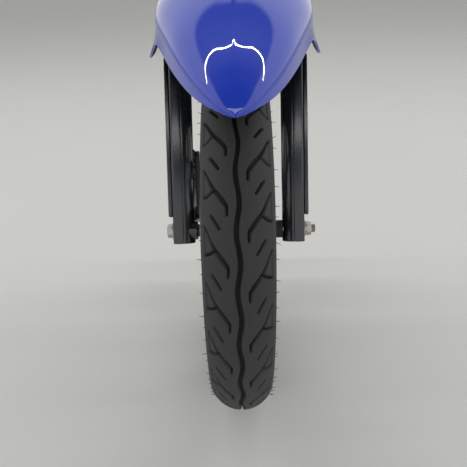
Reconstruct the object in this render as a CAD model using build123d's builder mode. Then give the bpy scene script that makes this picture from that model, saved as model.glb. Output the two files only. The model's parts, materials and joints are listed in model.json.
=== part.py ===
from build123d import *
import math
import os

# Front fork assembly of a motor scooter, with its wheel, brake and mudguard, in millimetres.
# X runs across and +X is the rider's left, the front faces -Y and +Z is up. The origin is on
# the steering axis, at the top of the crown race, where the frame's lower head bearing runs.

# Steering geometry
rake = 26.5
yoke_offset = 30.0
leg_x = 77.0
suspension_travel = 90.0
yoke_clearance = 75.2

# Clearances
seat_gap = 0.3
running_gap = 0.05
pad_gap = 0.5
hub_gap = 1.5

# Tyre and rim
tyre_r = 240.8
tyre_half = 37.2
tyre_shoulder_half = 34.6
tyre_height = 64.2
tyre_shoulder_drop = 19.3
tread_wall = 9.0
side_wall = 5.5
widest_share = 0.52
upper_wall_share = 0.987
lower_wall_share = 0.9
lower_wall_drop = 0.2
lining_droop = 3.6
bead_toe_taper = 1.0
tread_pitches = 26
tread_groove_width = 4.6
tread_groove_depth = 5.2
side_groove_width = 3.4
side_groove_sink = 4.6
side_groove_start = 8.3
side_groove_shift = 7.9
bead_width = 7.8
rim_inner_half = 20.3
rim_flange_wall = 5.0
rim_flange_height = 13.5
rim_wall = 6.0
drop_depth = 13.0
drop_half = 6.0

# Cast web, spokes and hub
spoke_count = 5
web_half_at_hub = 19.0
web_half_at_rim = 9.0
spoke_root_half_width = 11.5
spoke_fork_half_width = 9.0
spoke_fork_drop = 20.0
spoke_branch_angle = 15.5
spoke_branch_half_width = 6.5
small_window_height = 45.6
window_corner_r = 7.0
small_window_corner_r = 3.5
pocket_width = 8.0
pocket_floor_half = 6.5
valve_base_r = 5.5
valve_flange_r = 7.0
valve_rubber_length = 14.0
valve_taper = 10.0
valve_cap_r = 3.8
valve_cap_length = 12.0
hub_r = 27.0
hub_window_r = 38.0
hub_web_r = 44.0
rim_web_height = 2.5
hub_left_end = 38.0
hub_bore_r = 8.0
hub_flange_r = 36.0
hub_flange_height = 8.0

# Bearings, seals and axle
axle_r = 6.0
bearing_r = 16.0
bearing_width = 10.0
seal_width = 4.0
collar_r = 9.0
axle_head_width = 17.0
axle_head_height = 7.2
axle_nut_height = 8.5
axle_thread_out = 5.4
washer_r = 12.0
washer_height = 2.0
drive_r = 25.0
drive_height = 16.5
drive_chamfer = 3.0
drive_boss_r = 12.5
drive_gland_r = 5.5
drive_gland_offset = 16.0
drive_gland_lean = 20.0
drive_gland_length = 40.0
drive_socket_r = 3.0
drive_socket_depth = 12.0

# Brake disc
disc_r = 100.0
disc_band_r = 73.0
disc_height = 3.5
disc_face_x = 43.5
disc_bore_r = 29.0
disc_bolt_circle_r = 40.0
disc_bolt_count = 5
disc_bolt_r = 4.0
disc_bolt_head_r = 6.0
disc_bolt_head_height = 4.0
disc_lobe_r = 9.5
disc_arm_width = 13.0
disc_hole_r = 3.2
disc_arm_slant = 24.0
disc_hole_count = 12

# Caliper
caliper_angle = 48.0
caliper_length = 74.0
caliper_inner_r = 64.0
caliper_rim_gap = 3.5
caliper_bridge = 12.0
caliper_jaw_inner = 7.0
caliper_jaw_outer = 15.0
pad_height = 7.0
pad_length = 48.0
pad_band = 22.0
piston_r = 17.5
piston_proud = 12.0
caliper_corner_r = 9.0
caliper_inlet_r = 4.2
caliper_inlet_depth = 14.0
caliper_inlet_along = -20.0
bracket_wall = 5.5
bracket_gap = 0.6
caliper_lug_y = 24.5
caliper_lug_low_t = 24.0
caliper_lug_high_t = 105.0
caliper_lug_r = 10.0
caliper_lug_proud = 1.0
caliper_bolt_r = 4.0
caliper_bolt_head_r = 6.5
caliper_bolt_head_height = 6.0
slide_pin_r = 4.0
slide_ear_r = 9.0
slide_ear_height = 8.0
piston_chamfer = 2.5

# Lower legs
leg_r = 15.0
leg_front = 16.5
leg_corner_r = 4.0
leg_stop_gap = 11.0
leg_bore_depth = 195.0
leg_collar_r = 17.0
leg_collar_height = 30.0
lug_r = 16.5
lug_top = 52.0
lug_taper = 26.0
lug_boss_r = 13.0
lug_boss_height = 4.0
dust_seal_r = 17.5
dust_seal_height = 9.0
dust_seal_chamfer = 1.5

# Fork guards
guard_wall = 2.8
guard_gap = 3.0
guard_bottom = 20.0
guard_top_drop = 22.0
guard_half_depth = 14.0
guard_corner_r = 5.0
guard_pad_r = 5.0
guard_low_pad = 42.0
guard_high_pad = 36.0

# Fork tubes, yoke and stem
tube_r = 13.0
tube_bore_r = 10.5
cap_height = 6.0
cap_plug = 12.0
yoke_height = 34.0
yoke_web_height = 20.0
clamp_wall = 7.5
clamp_slot = 3.0
clamp_ear = 13.0
stem_boss_r = 24.0
yoke_bolt_r = 4.0
yoke_bolt_head_r = 6.5
yoke_bolt_head_height = 7.0
bracket_bolt_x = 22.0
bracket_bolt_y = 14.0
stem_seat_r = 15.0
stem_r = 14.0
stem_thread_r = 12.7
stem_thread_length = 38.0
stem_bore_r = 10.0
stem_length = 195.0
race_r = 23.0
race_height = 7.0
race_chamfer = 2.5

# Mudguard, its inner half and their bracket, which all hang from the yoke
mudguard_wall = 2.8
mudguard_ridge_power = 1.15
mudguard_leg_opening_r = 25.0
mudguard_edge_r = 14.0
mudguard_cut_half = 130.0
mudguard_boss_drop = 31.0
mudguard_boss_r = 8.0
mudguard_boss_x = 30.0
mudguard_boss_y = -12.0
liner_half = 44.0
liner_wall = 2.5
liner_lip = 16.0
liner_shift = 30.0
liner_start_angle = 112.0
liner_sweep_angle = 64.0
liner_gap = 1.5
liner_boss_y = 36.0
bracket_plate = 3.0
bracket_drop = 14.0
bracket_half_x = 42.0
bracket_front_y = -24.0
bracket_back_y = 48.0
bracket_corner_r = 8.0
mudguard_bolt_r = 3.0
mudguard_bolt_head_r = 6.0
mudguard_bolt_head_height = 4.0

# Sections of the mudguard: how far behind the yoke's clamps, half width at the waist and at the
# foot, then how far the ridge, the waist and the foot stand above the yoke's underside
mudguard_sections = (
    (-372.5, 4.0, 5.0, -104.9, -105.9, -112.0),
    (-340.0, 30.5, 31.0, -74.9, -95.9, -109.0),
    (-284.0, 57.0, 58.5, -40.9, -76.9, -97.0),
    (-212.0, 80.0, 84.0, -12.9, -60.9, -85.0),
    (-152.0, 91.0, 104.0, -1.9, -60.9, -105.0),
    (-91.0, 95.5, 108.0, -0.9, -63.9, -109.0),
    (4.0, 97.5, 107.5, -29.9, -74.9, -105.0),
)
# Its lower edge in side view, behind the clamps and above the yoke: beak, rise, notch and wing
mudguard_edge = (
    (-372.5, -107.5),
    (-340.0, -103.3),
    (-284.0, -91.9),
    (-212.0, -75.4),
    (-188.0, -75.4),
    (-152.0, -98.9),
    (-126.0, -102.9),
    (-91.0, -103.9),
    (-46.0, -96.9),
    (4.0, -82.9),
)
# A side groove of the tread: how far up the tyre and how far across each of its bends lies
side_groove = ((-9.2, 10.3), (0.0, 10.5), (15.3, 23.3), (35.0, 34.5))

# Places worked out from the sizes above
fork_up = Vector(0, math.sin(math.radians(rake)), math.cos(math.radians(rake)))
fork_length = tyre_r + suspension_travel + yoke_clearance
steering_plane = Plane(origin=(0, 0, 0), x_dir=(1, 0, 0), z_dir=fork_up)
axle_point = steering_plane.from_local_coords(Vector(0, -yoke_offset, -fork_length - race_height))
seat_plane = steering_plane.offset(-race_height)
fork_plane = Plane(origin=axle_point, x_dir=(1, 0, 0), z_dir=fork_up)
wheel_axis = Axis(axle_point, (1, 0, 0))
section_plane = Plane(origin=axle_point, x_dir=(1, 0, 0), z_dir=(0, -1, 0))
yoke_bottom = fork_length - yoke_height
yoke_point = fork_plane.from_local_coords(Vector(0, 0, yoke_bottom))
leg_top = yoke_bottom - suspension_travel - dust_seal_height - leg_stop_gap
guard_top = leg_top - guard_top_drop
leg_outer_x = leg_x + leg_r
leg_inner_x = leg_x - leg_r
caliper_lug_face_x = caliper_lug_proud - leg_inner_x
hub_right_end = disc_face_x + disc_height
bearing_depth = bearing_width + seal_width
bead_seat_r = tyre_r - tyre_height
tyre_widest_r = bead_seat_r + widest_share * tyre_height
flange_top_r = bead_seat_r + rim_flange_height


def fork_at(x, y, t):
    """A plane square to the fork, x across, y behind the legs' axes and t above the axle."""
    origin = fork_plane.from_local_coords(Vector(x, y, t))
    return Plane(origin=origin, x_dir=fork_plane.x_dir, z_dir=fork_plane.z_dir)


def side_at(x):
    """A plane square to the axle at x, its own x backwards and its own y up the fork."""
    origin = fork_plane.from_local_coords(Vector(x, 0, 0))
    return Plane(origin=origin, x_dir=fork_plane.y_dir, z_dir=(1, 0, 0))


def wheel_face_at(x):
    """A plane square to the axle at x, its own x to the rear and its own y straight up."""
    return Plane(origin=axle_point + Vector(x, 0, 0), x_dir=(0, 1, 0), z_dir=(1, 0, 0))


def finish(part, label):
    """Name a finished piece and write it out."""
    part.label = label
    export_step(part, f"parts/{label}.step")


os.makedirs("parts", exist_ok=True)

# Tyre, with the groove round its middle and the main grooves of both sides
crown_r = (tyre_shoulder_half**2 + tyre_shoulder_drop**2) / (2 * tyre_shoulder_drop)
pitch_angle = 360 / tread_pitches


def crown_point(across):
    """The point of the tread's outer arc at a distance across, as (across, radius)."""
    return (across, tyre_r - crown_r + math.sqrt(crown_r**2 - across**2))


def groove_plane(side):
    """A plane under the middle of a side groove, square to the tread there, facing outwards."""
    middle = (side_groove[0][1] + side_groove[-1][1]) / 2
    across, radius = crown_point(middle)
    lean = math.asin(across / crown_r)
    outwards = Vector(side * math.sin(lean), -math.cos(lean), 0)
    sunk = axle_point + Vector(side * across, -radius, 0) - outwards * side_groove_sink
    return Plane(origin=sunk, x_dir=(0, 0, 1), z_dir=outwards), middle


with BuildPart() as tyre:
    with BuildSketch(section_plane):
        with BuildLine():
            bead_half = rim_inner_half - seat_gap
            toe = (bead_half - bead_width, bead_seat_r + seat_gap)
            neck = (toe[0] + bead_toe_taper, flange_top_r)
            exit_point = (bead_half, flange_top_r)
            widest = (tyre_half, tyre_widest_r)
            shoulder = (tyre_shoulder_half, tyre_r - tyre_shoulder_drop)
            lining = (tyre_half - side_wall, tyre_widest_r)
            lining_top = tyre_r - tread_wall
            lower_wall_r = tyre_widest_r - lower_wall_drop * tyre_height
            Line((0, lining_top), (0, tyre_r))
            ThreePointArc((0, tyre_r), crown_point(tyre_shoulder_half / 2), shoulder)
            upper_wall = (upper_wall_share * tyre_half, (shoulder[1] + tyre_widest_r) / 2)
            ThreePointArc(shoulder, upper_wall, widest)
            ThreePointArc(widest, (lower_wall_share * tyre_half, lower_wall_r), exit_point)
            Polyline(exit_point, (bead_half, toe[1]), toe, neck)
            ThreePointArc(neck, (lower_wall_share * lining[0], lower_wall_r), lining)
            ThreePointArc(lining, (lining[0] / 2, lining_top - lining_droop), (0, lining_top))
        make_face()
        mirror(about=Plane.YZ)
    revolve(axis=wheel_axis)
    with BuildSketch(section_plane):
        with Locations((0, tyre_r)):
            Rectangle(tread_groove_width, 2 * tread_groove_depth)
    revolve(axis=wheel_axis, mode=Mode.SUBTRACT)
    grooves = []
    for side in (-1, 1):
        plane, middle = groove_plane(side)
        with BuildPart(mode=Mode.PRIVATE) as groove:
            with BuildSketch(plane):
                with BuildLine():
                    Polyline(*[(up, side * (across - middle)) for up, across in side_groove])
                trace(line_width=side_groove_width)
            extrude(amount=3 * side_groove_sink)
        start = side_groove_start + (side_groove_shift if side > 0 else 0)
        for pitch in range(tread_pitches):
            grooves.append(groove.part.rotate(wheel_axis, -start - pitch * pitch_angle))
    add(grooves, mode=Mode.SUBTRACT)
finish(tyre.part, "tyre")

# Cast wheel: spoked web, then the rim and the hub over its edges
rim_outer_half = rim_inner_half + rim_flange_wall
drop_r = bead_seat_r - drop_depth
rim_inside_r = drop_r - rim_wall
rim_shelf_r = bead_seat_r - rim_wall
seat_inner_half = drop_half + rim_wall
small_window_r = rim_inside_r - small_window_height
spoke_fork_r = small_window_r - spoke_fork_drop


def polar(radius, degrees):
    """A point of the wheel's face, its angle taken from the top towards the rear."""
    turn = math.radians(degrees)
    return (radius * math.sin(turn), radius * math.cos(turn))


def spoke_window():
    """The window between two spokes, from one spoke's flank over to the next one's."""
    pitch = 360 / spoke_count
    root = math.degrees(spoke_root_half_width / hub_window_r)
    fork = math.degrees(spoke_fork_half_width / spoke_fork_r)
    branch = spoke_branch_angle + math.degrees(spoke_branch_half_width / rim_inside_r)
    with BuildSketch() as window:
        with BuildLine():
            Polyline(polar(hub_window_r, root), polar(spoke_fork_r, fork), polar(rim_inside_r, branch))
            ThreePointArc(
                polar(rim_inside_r, branch),
                polar(rim_inside_r, pitch / 2),
                polar(rim_inside_r, pitch - branch),
            )
            Polyline(
                polar(rim_inside_r, pitch - branch),
                polar(spoke_fork_r, pitch - fork),
                polar(hub_window_r, pitch - root),
            )
            ThreePointArc(
                polar(hub_window_r, pitch - root), polar(hub_window_r, pitch / 2), polar(hub_window_r, root)
            )
        make_face()
        fillet(window.vertices(), window_corner_r)
    return window.sketch


def branch_window():
    """The small window between the two branches of one spoke."""
    edge = spoke_branch_angle - math.degrees(spoke_branch_half_width / rim_inside_r)
    with BuildSketch() as window:
        with BuildLine():
            Polyline(polar(rim_inside_r, -edge), polar(small_window_r, 0), polar(rim_inside_r, edge))
            ThreePointArc(polar(rim_inside_r, edge), polar(rim_inside_r, 0), polar(rim_inside_r, -edge))
        make_face()
        fillet(window.vertices(), small_window_corner_r)
    return window.sketch


valve_direction = Vector(0, *polar(1, 180 / spoke_count))
valve_plane = Plane(
    origin=axle_point + valve_direction * rim_inside_r, x_dir=(1, 0, 0), z_dir=valve_direction * -1
)

with BuildPart() as wheel:
    with BuildSketch(section_plane):
        with BuildLine():
            Polyline(
                (-web_half_at_hub, 0),
                (-web_half_at_hub, hub_r),
                (-web_half_at_rim, rim_inside_r),
                (-web_half_at_rim / 2, drop_r - rim_wall / 2),
                (web_half_at_rim / 2, drop_r - rim_wall / 2),
                (web_half_at_rim, rim_inside_r),
                (web_half_at_hub, hub_r),
                (web_half_at_hub, 0),
                close=True,
            )
        make_face()
    revolve(axis=wheel_axis)
    with BuildSketch(wheel_face_at(0)):
        with PolarLocations(0, spoke_count):
            add(spoke_window())
            add(branch_window())
    extrude(amount=web_half_at_hub, both=True, mode=Mode.SUBTRACT)
    for side in (-1, 1):
        with BuildSketch(wheel_face_at(side * pocket_floor_half)):
            with PolarLocations((hub_window_r + spoke_fork_r) / 2, spoke_count, start_angle=90):
                SlotOverall(spoke_fork_r - hub_window_r, pocket_width)
        extrude(amount=side * web_half_at_hub, mode=Mode.SUBTRACT)
    with BuildSketch(section_plane):
        with BuildLine():
            Polyline(
                (0, drop_r),
                (drop_half, drop_r),
                (seat_inner_half, bead_seat_r),
                (rim_inner_half, bead_seat_r),
                (rim_inner_half, flange_top_r),
                (rim_outer_half, flange_top_r),
                (rim_outer_half, bead_seat_r),
                (rim_outer_half - rim_wall / 2, rim_shelf_r),
                (seat_inner_half + rim_wall / 2, rim_shelf_r),
                (drop_half + rim_wall / 2, rim_inside_r),
                (0, rim_inside_r),
                close=True,
            )
        make_face()
        mirror(about=Plane.YZ)
    revolve(axis=wheel_axis)
    with BuildSketch(section_plane):
        with BuildLine():
            Polyline(
                (-hub_right_end, 0),
                (-hub_right_end, disc_bore_r - seat_gap),
                (-disc_face_x, disc_bore_r - seat_gap),
                (-disc_face_x, hub_flange_r),
                (hub_flange_height - disc_face_x, hub_flange_r),
                (2 * hub_flange_height - disc_face_x, hub_r),
                (hub_left_end, hub_r),
                (hub_left_end, 0),
                close=True,
            )
        make_face()
    revolve(axis=wheel_axis)
    with BuildSketch(wheel_face_at(-disc_face_x)):
        with PolarLocations(disc_bolt_circle_r, disc_bolt_count):
            Circle(disc_lobe_r)
    extrude(amount=hub_flange_height)
    with BuildSketch(wheel_face_at(-disc_face_x)):
        with PolarLocations(disc_bolt_circle_r, disc_bolt_count):
            Circle(disc_bolt_r + seat_gap)
    extrude(amount=hub_flange_height, mode=Mode.SUBTRACT)
    for low in (-hub_right_end, hub_left_end - bearing_depth):
        with BuildSketch(wheel_face_at(low)):
            Circle(bearing_r)
        extrude(amount=bearing_depth, mode=Mode.SUBTRACT)
    with BuildSketch(wheel_face_at(-hub_right_end)):
        Circle(hub_bore_r)
    extrude(amount=hub_right_end + hub_left_end, mode=Mode.SUBTRACT)
    with BuildSketch(valve_plane.offset(rim_wall)):
        Circle(valve_base_r)
    extrude(amount=-3 * rim_wall, mode=Mode.SUBTRACT)

# One casting, in three nodes: its hub, its five spokes and its rim
spoke_end_r = rim_inside_r - rim_web_height
for label, low_r, high_r, half in (
    ("wheel_spokes", hub_web_r, spoke_end_r, web_half_at_hub),
    ("wheel_rim", spoke_end_r, 2 * flange_top_r, hub_right_end),
):
    with BuildPart() as zone:
        add(wheel.part)
        with BuildSketch(wheel_face_at(0)):
            Circle(high_r)
            Circle(low_r, mode=Mode.SUBTRACT)
        extrude(amount=half, both=True, mode=Mode.INTERSECT)
    finish(zone.part, label)
with BuildPart() as wheel_hub:
    add(wheel.part)
    with BuildSketch(wheel_face_at(0)):
        Circle(spoke_end_r)
    extrude(amount=hub_right_end, both=True, mode=Mode.INTERSECT)
    with BuildSketch(wheel_face_at(0)):
        Circle(rim_inside_r)
        Circle(hub_web_r, mode=Mode.SUBTRACT)
    extrude(amount=web_half_at_hub, both=True, mode=Mode.SUBTRACT)
finish(wheel_hub.part, "wheel_hub")

# Valve stem, snapped into the rim between two spokes
with BuildPart() as valve_stem:
    with BuildSketch(valve_plane.offset(-rim_wall)):
        Circle(valve_base_r - seat_gap)
    extrude(amount=rim_wall + seat_gap)
    with BuildSketch(valve_plane.offset(seat_gap)):
        Circle(valve_flange_r)
    extrude(amount=valve_rubber_length, taper=valve_taper)
    with BuildSketch(valve_plane.offset(valve_rubber_length)):
        Circle(valve_cap_r)
    extrude(amount=valve_cap_length)
finish(valve_stem.part, "valve_stem")

# Wheel bearings and hub seals, one of each in both ends of the hub
bearing_stations = (
    (seal_width - hub_right_end, bearing_depth - hub_right_end),
    (hub_left_end - bearing_depth, hub_left_end - seal_width),
)
seal_stations = ((-hub_right_end, seal_width - hub_right_end), (hub_left_end - seal_width, hub_left_end))
for label, stations, inner_r in (
    ("wheel_bearings", bearing_stations, axle_r + running_gap),
    ("hub_seals", seal_stations, collar_r + seat_gap),
):
    with BuildPart() as rings:
        for low, high in stations:
            with BuildSketch(wheel_face_at(low)):
                Circle(bearing_r)
                Circle(inner_r, mode=Mode.SUBTRACT)
            extrude(amount=high - low)
    finish(rings.part, label)

# Brake disc and its bolts
with BuildPart() as brake_disc:
    with BuildSketch(wheel_face_at(-disc_face_x)):
        Circle(disc_r)
        Circle(disc_band_r, mode=Mode.SUBTRACT)
        Circle(hub_flange_r)
        arm_length = disc_band_r - disc_bolt_circle_r + disc_arm_width
        with PolarLocations((disc_bolt_circle_r + disc_band_r) / 2, disc_bolt_count):
            Rectangle(arm_length, disc_arm_width, rotation=disc_arm_slant)
        with PolarLocations(disc_bolt_circle_r, disc_bolt_count):
            Circle(disc_lobe_r)
        Circle(disc_bore_r, mode=Mode.SUBTRACT)
        with PolarLocations(disc_bolt_circle_r, disc_bolt_count):
            Circle(disc_bolt_r + seat_gap, mode=Mode.SUBTRACT)
        band = disc_r - disc_band_r
        for share, turn in ((0.27, 0), (0.73, 180 / disc_hole_count)):
            with PolarLocations(disc_band_r + share * band, disc_hole_count, start_angle=turn):
                Circle(disc_hole_r, mode=Mode.SUBTRACT)
    extrude(amount=-disc_height)
finish(brake_disc.part, "brake_disc")

with BuildPart() as disc_bolts:
    with BuildSketch(wheel_face_at(-disc_face_x - disc_height)):
        with PolarLocations(disc_bolt_circle_r, disc_bolt_count):
            Circle(disc_bolt_head_r)
    extrude(amount=-disc_bolt_head_height)
    with BuildSketch(wheel_face_at(-disc_face_x - disc_height)):
        with PolarLocations(disc_bolt_circle_r, disc_bolt_count):
            Circle(disc_bolt_r)
    extrude(amount=disc_height + hub_flange_height)
finish(disc_bolts.part, "disc_bolts")

# Axle bolt, nut and washers, the collar on the brake's side and the speedometer drive
washer_right_x = -leg_outer_x - washer_height
with BuildPart() as axle_bolt:
    with BuildSketch(side_at(washer_right_x)):
        Circle(axle_r)
    extrude(amount=2 * leg_outer_x + 2 * washer_height + axle_nut_height + axle_thread_out)
    with BuildSketch(side_at(washer_right_x)):
        RegularPolygon(axle_head_width / 2, 6, major_radius=False)
    extrude(amount=-axle_head_height)
finish(axle_bolt.part, "axle_bolt")

with BuildPart() as axle_nut:
    with BuildSketch(side_at(leg_outer_x + washer_height)):
        RegularPolygon(axle_head_width / 2, 6, major_radius=False)
        Circle(axle_r + running_gap, mode=Mode.SUBTRACT)
    extrude(amount=axle_nut_height)
finish(axle_nut.part, "axle_nut")

with BuildPart() as axle_washers:
    for x in (washer_right_x, leg_outer_x):
        with BuildSketch(side_at(x)):
            Circle(washer_r)
            Circle(axle_r + running_gap, mode=Mode.SUBTRACT)
        extrude(amount=washer_height)
finish(axle_washers.part, "axle_washers")

boss_right_x = -leg_inner_x + lug_boss_height
with BuildPart() as wheel_collar:
    with BuildSketch(side_at(boss_right_x)):
        Circle(collar_r)
        Circle(axle_r + running_gap, mode=Mode.SUBTRACT)
    extrude(amount=-(hub_right_end - seal_width + seat_gap) - boss_right_x)
finish(wheel_collar.part, "wheel_collar")

drive_inner_x = hub_left_end + hub_gap
gland_lean = math.radians(drive_gland_lean)
gland_direction = fork_plane.y_dir * math.sin(gland_lean) + fork_up * math.cos(gland_lean)
gland_side = fork_plane.y_dir * math.cos(gland_lean) - fork_up * math.sin(gland_lean)
gland_origin = axle_point + Vector(drive_inner_x + drive_height / 2, 0, 0) + gland_side * drive_gland_offset
gland_plane = Plane(origin=gland_origin, x_dir=(1, 0, 0), z_dir=gland_direction)
with BuildPart() as speedometer_drive:
    with BuildSketch(side_at(drive_inner_x)):
        Circle(drive_r)
    extrude(amount=drive_height)
    chamfer(speedometer_drive.faces().sort_by(Axis.X)[-1].edges(), drive_chamfer)
    with BuildSketch(side_at(drive_inner_x + drive_height)):
        Circle(drive_boss_r)
    extrude(amount=leg_inner_x - drive_inner_x - drive_height)
    with BuildSketch(side_at(hub_left_end - seal_width + seat_gap)):
        Circle(collar_r)
    extrude(amount=drive_inner_x - hub_left_end + seal_width - seat_gap)
    with BuildSketch(gland_plane):
        Circle(drive_gland_r)
    extrude(amount=drive_gland_length)
    with BuildSketch(side_at(hub_left_end - seal_width)):
        Circle(axle_r + running_gap)
    extrude(amount=leg_inner_x, mode=Mode.SUBTRACT)
    with BuildSketch(gland_plane.offset(drive_gland_length)):
        Circle(drive_socket_r)
    extrude(amount=-drive_socket_depth, mode=Mode.SUBTRACT)
finish(speedometer_drive.part, "speedometer_drive")

# Lower legs, one on each side, with the brake's lugs on the right one
for side, label in ((-1, "lower_leg_right"), (1, "lower_leg_left")):
    with BuildPart() as lower_leg:
        with BuildSketch(fork_at(side * leg_x, 0, 0)):
            Circle(leg_r)
            with BuildSketch(mode=Mode.PRIVATE) as front:
                with Locations((side * leg_r / 2, -leg_front / 2)):
                    Rectangle(leg_r, leg_front)
                corners = front.vertices().group_by(Axis.Y)[0].sort_by(Axis.X)
                fillet(corners[-1 if side > 0 else 0], leg_corner_r)
            add(front.sketch)
        extrude(amount=leg_top - leg_collar_height)
        with BuildSketch(fork_at(side * leg_x, 0, leg_top - leg_collar_height)):
            Circle(leg_collar_r)
        extrude(amount=leg_collar_height)
        with BuildSketch(side_at(side * leg_inner_x)):
            Circle(lug_r)
            with BuildLine():
                Polyline(
                    (-lug_r, 0),
                    (-lug_r, lug_top - lug_taper),
                    (-lug_r / 2, lug_top),
                    (lug_r / 2, lug_top),
                    (lug_r, lug_top - lug_taper),
                    (lug_r, 0),
                    close=True,
                )
            make_face()
        extrude(amount=side * 2 * leg_r)
        if side < 0:
            with BuildSketch(side_at(-leg_inner_x)):
                Circle(lug_boss_r)
            extrude(amount=lug_boss_height)
            chamfer(lower_leg.faces().sort_by(Axis.X)[-1].edges(), lug_boss_height / 2)
            for t in (caliper_lug_low_t, caliper_lug_high_t):
                with BuildSketch(side_at(caliper_lug_face_x)):
                    with Locations((caliper_lug_y, t)):
                        Circle(caliper_lug_r)
                    with Locations((caliper_lug_y / 2, t)):
                        Rectangle(caliper_lug_y, 2 * caliper_lug_r)
                extrude(amount=-leg_outer_x - caliper_lug_face_x + leg_r / 2)
                with BuildSketch(side_at(caliper_lug_face_x)):
                    with Locations((caliper_lug_y, t)):
                        Circle(caliper_bolt_r + seat_gap)
                extrude(amount=-2 * leg_r, mode=Mode.SUBTRACT)
        with BuildSketch(fork_at(side * leg_x, 0, leg_top)):
            Circle(tube_r + seat_gap)
        extrude(amount=-leg_bore_depth, mode=Mode.SUBTRACT)
        with BuildSketch(side_at(0)):
            Circle(axle_r + running_gap)
        extrude(amount=side * (leg_outer_x + leg_r), mode=Mode.SUBTRACT)
    finish(lower_leg.part, label)

# Fork guards, thin covers over the outer flank of each lower leg
for side, label in ((-1, "fork_guard_right"), (1, "fork_guard_left")):
    guard_inner_x = leg_outer_x + guard_gap
    with BuildPart() as fork_guard:
        with BuildSketch(side_at(side * guard_inner_x)):
            with Locations((0, (guard_bottom + guard_top) / 2)):
                RectangleRounded(2 * guard_half_depth, guard_top - guard_bottom, guard_corner_r)
        extrude(amount=side * guard_wall)
        for t in (guard_bottom + guard_low_pad, guard_top - guard_high_pad):
            with BuildSketch(side_at(side * leg_outer_x)):
                with Locations((0, t)):
                    Circle(guard_pad_r)
            extrude(amount=side * guard_gap)
    finish(fork_guard.part, label)

# Dust seals and fork tubes
for side, word in ((-1, "right"), (1, "left")):
    with BuildPart() as dust_seal:
        with BuildSketch(fork_at(side * leg_x, 0, leg_top)):
            Circle(dust_seal_r)
            Circle(tube_r + running_gap, mode=Mode.SUBTRACT)
        extrude(amount=dust_seal_height)
        chamfer(dust_seal.edges().filter_by(GeomType.CIRCLE).sort_by(Axis.Z)[-1], dust_seal_chamfer)
    finish(dust_seal.part, f"dust_seal_{word}")
    with BuildPart() as fork_tube:
        with BuildSketch(fork_at(side * leg_x, 0, leg_top - leg_bore_depth + seat_gap)):
            Circle(tube_r)
            Circle(tube_bore_r, mode=Mode.SUBTRACT)
        extrude(amount=fork_length - leg_top + leg_bore_depth - seat_gap)
    finish(fork_tube.part, f"fork_tube_{word}")

with BuildPart() as fork_caps:
    for side in (-1, 1):
        with BuildSketch(fork_at(side * leg_x, 0, fork_length)):
            RegularPolygon(tube_r, 6, major_radius=False)
        extrude(amount=cap_height)
        with BuildSketch(fork_at(side * leg_x, 0, fork_length)):
            Circle(tube_bore_r)
        extrude(amount=-cap_plug)
finish(fork_caps.part, "fork_caps")

# Bottom yoke: a forged web between two clamps and the stem's boss
clamp_r = tube_r + clamp_wall
ear_y = -clamp_r - clamp_ear / 2
with BuildPart() as bottom_yoke:
    with BuildSketch(fork_at(0, 0, yoke_bottom)):
        with Locations((-leg_x, 0), (leg_x, 0)):
            Circle(clamp_r)
        with Locations((0, yoke_offset)):
            Circle(stem_boss_r)
        make_hull()
    extrude(amount=yoke_web_height)
    with BuildSketch(fork_at(0, 0, yoke_bottom)):
        with Locations((-leg_x, 0), (leg_x, 0)):
            Circle(clamp_r)
        with Locations((-leg_x, ear_y + clamp_ear / 2), (leg_x, ear_y + clamp_ear / 2)):
            Rectangle(2 * clamp_ear, 2 * clamp_ear)
        with Locations((0, yoke_offset)):
            Circle(stem_boss_r)
    extrude(amount=yoke_height)
    with BuildSketch(fork_at(0, 0, yoke_bottom)):
        with Locations((-bracket_bolt_x, bracket_bolt_y), (bracket_bolt_x, bracket_bolt_y)):
            Circle(mudguard_boss_r)
    extrude(amount=bracket_plate - bracket_drop)
    with BuildSketch(fork_at(0, 0, yoke_bottom)):
        with Locations((-leg_x, 0), (leg_x, 0)):
            Circle(tube_r)
        with Locations((-leg_x, ear_y), (leg_x, ear_y)):
            Rectangle(clamp_slot, 2 * clamp_ear)
        with Locations((0, yoke_offset)):
            Circle(stem_seat_r)
    extrude(amount=yoke_height, mode=Mode.SUBTRACT)
    for side in (-1, 1):
        with BuildSketch(side_at(side * (leg_x - clamp_ear))):
            with Locations((ear_y, yoke_bottom + yoke_height / 2)):
                Circle(yoke_bolt_r + seat_gap)
        extrude(amount=side * 2 * clamp_ear, mode=Mode.SUBTRACT)
finish(bottom_yoke.part, "bottom_yoke")

with BuildPart() as yoke_bolts:
    for side in (-1, 1):
        bolt_place = (ear_y, yoke_bottom + yoke_height / 2)
        with BuildSketch(side_at(side * (leg_x - clamp_ear))):
            with Locations(bolt_place):
                Circle(yoke_bolt_r)
        extrude(amount=side * 2 * clamp_ear)
        with BuildSketch(side_at(side * (leg_x + clamp_ear))):
            with Locations(bolt_place):
                Circle(yoke_bolt_head_r)
        extrude(amount=side * yoke_bolt_head_height)
finish(yoke_bolts.part, "yoke_bolts")

# Steering stem and the crown race on its seat
with BuildPart() as steering_stem:
    for radius, low, high in (
        (stem_seat_r, -yoke_height, race_height),
        (stem_r, race_height, stem_length - stem_thread_length),
        (stem_thread_r, stem_length - stem_thread_length, stem_length),
    ):
        with BuildSketch(seat_plane.offset(low)):
            Circle(radius)
        extrude(amount=high - low)
    with BuildSketch(seat_plane.offset(-yoke_height)):
        Circle(stem_bore_r)
    extrude(amount=yoke_height + stem_length, mode=Mode.SUBTRACT)
finish(steering_stem.part, "steering_stem")

with BuildPart() as crown_race:
    with BuildSketch(seat_plane):
        Circle(race_r)
        Circle(stem_seat_r, mode=Mode.SUBTRACT)
    extrude(amount=race_height)
    top_edges = crown_race.edges().filter_by(GeomType.CIRCLE).group_by(Axis.Z)[-1]
    chamfer(top_edges.sort_by(SortBy.RADIUS)[-1], race_chamfer)
finish(crown_race.part, "crown_race")

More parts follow.
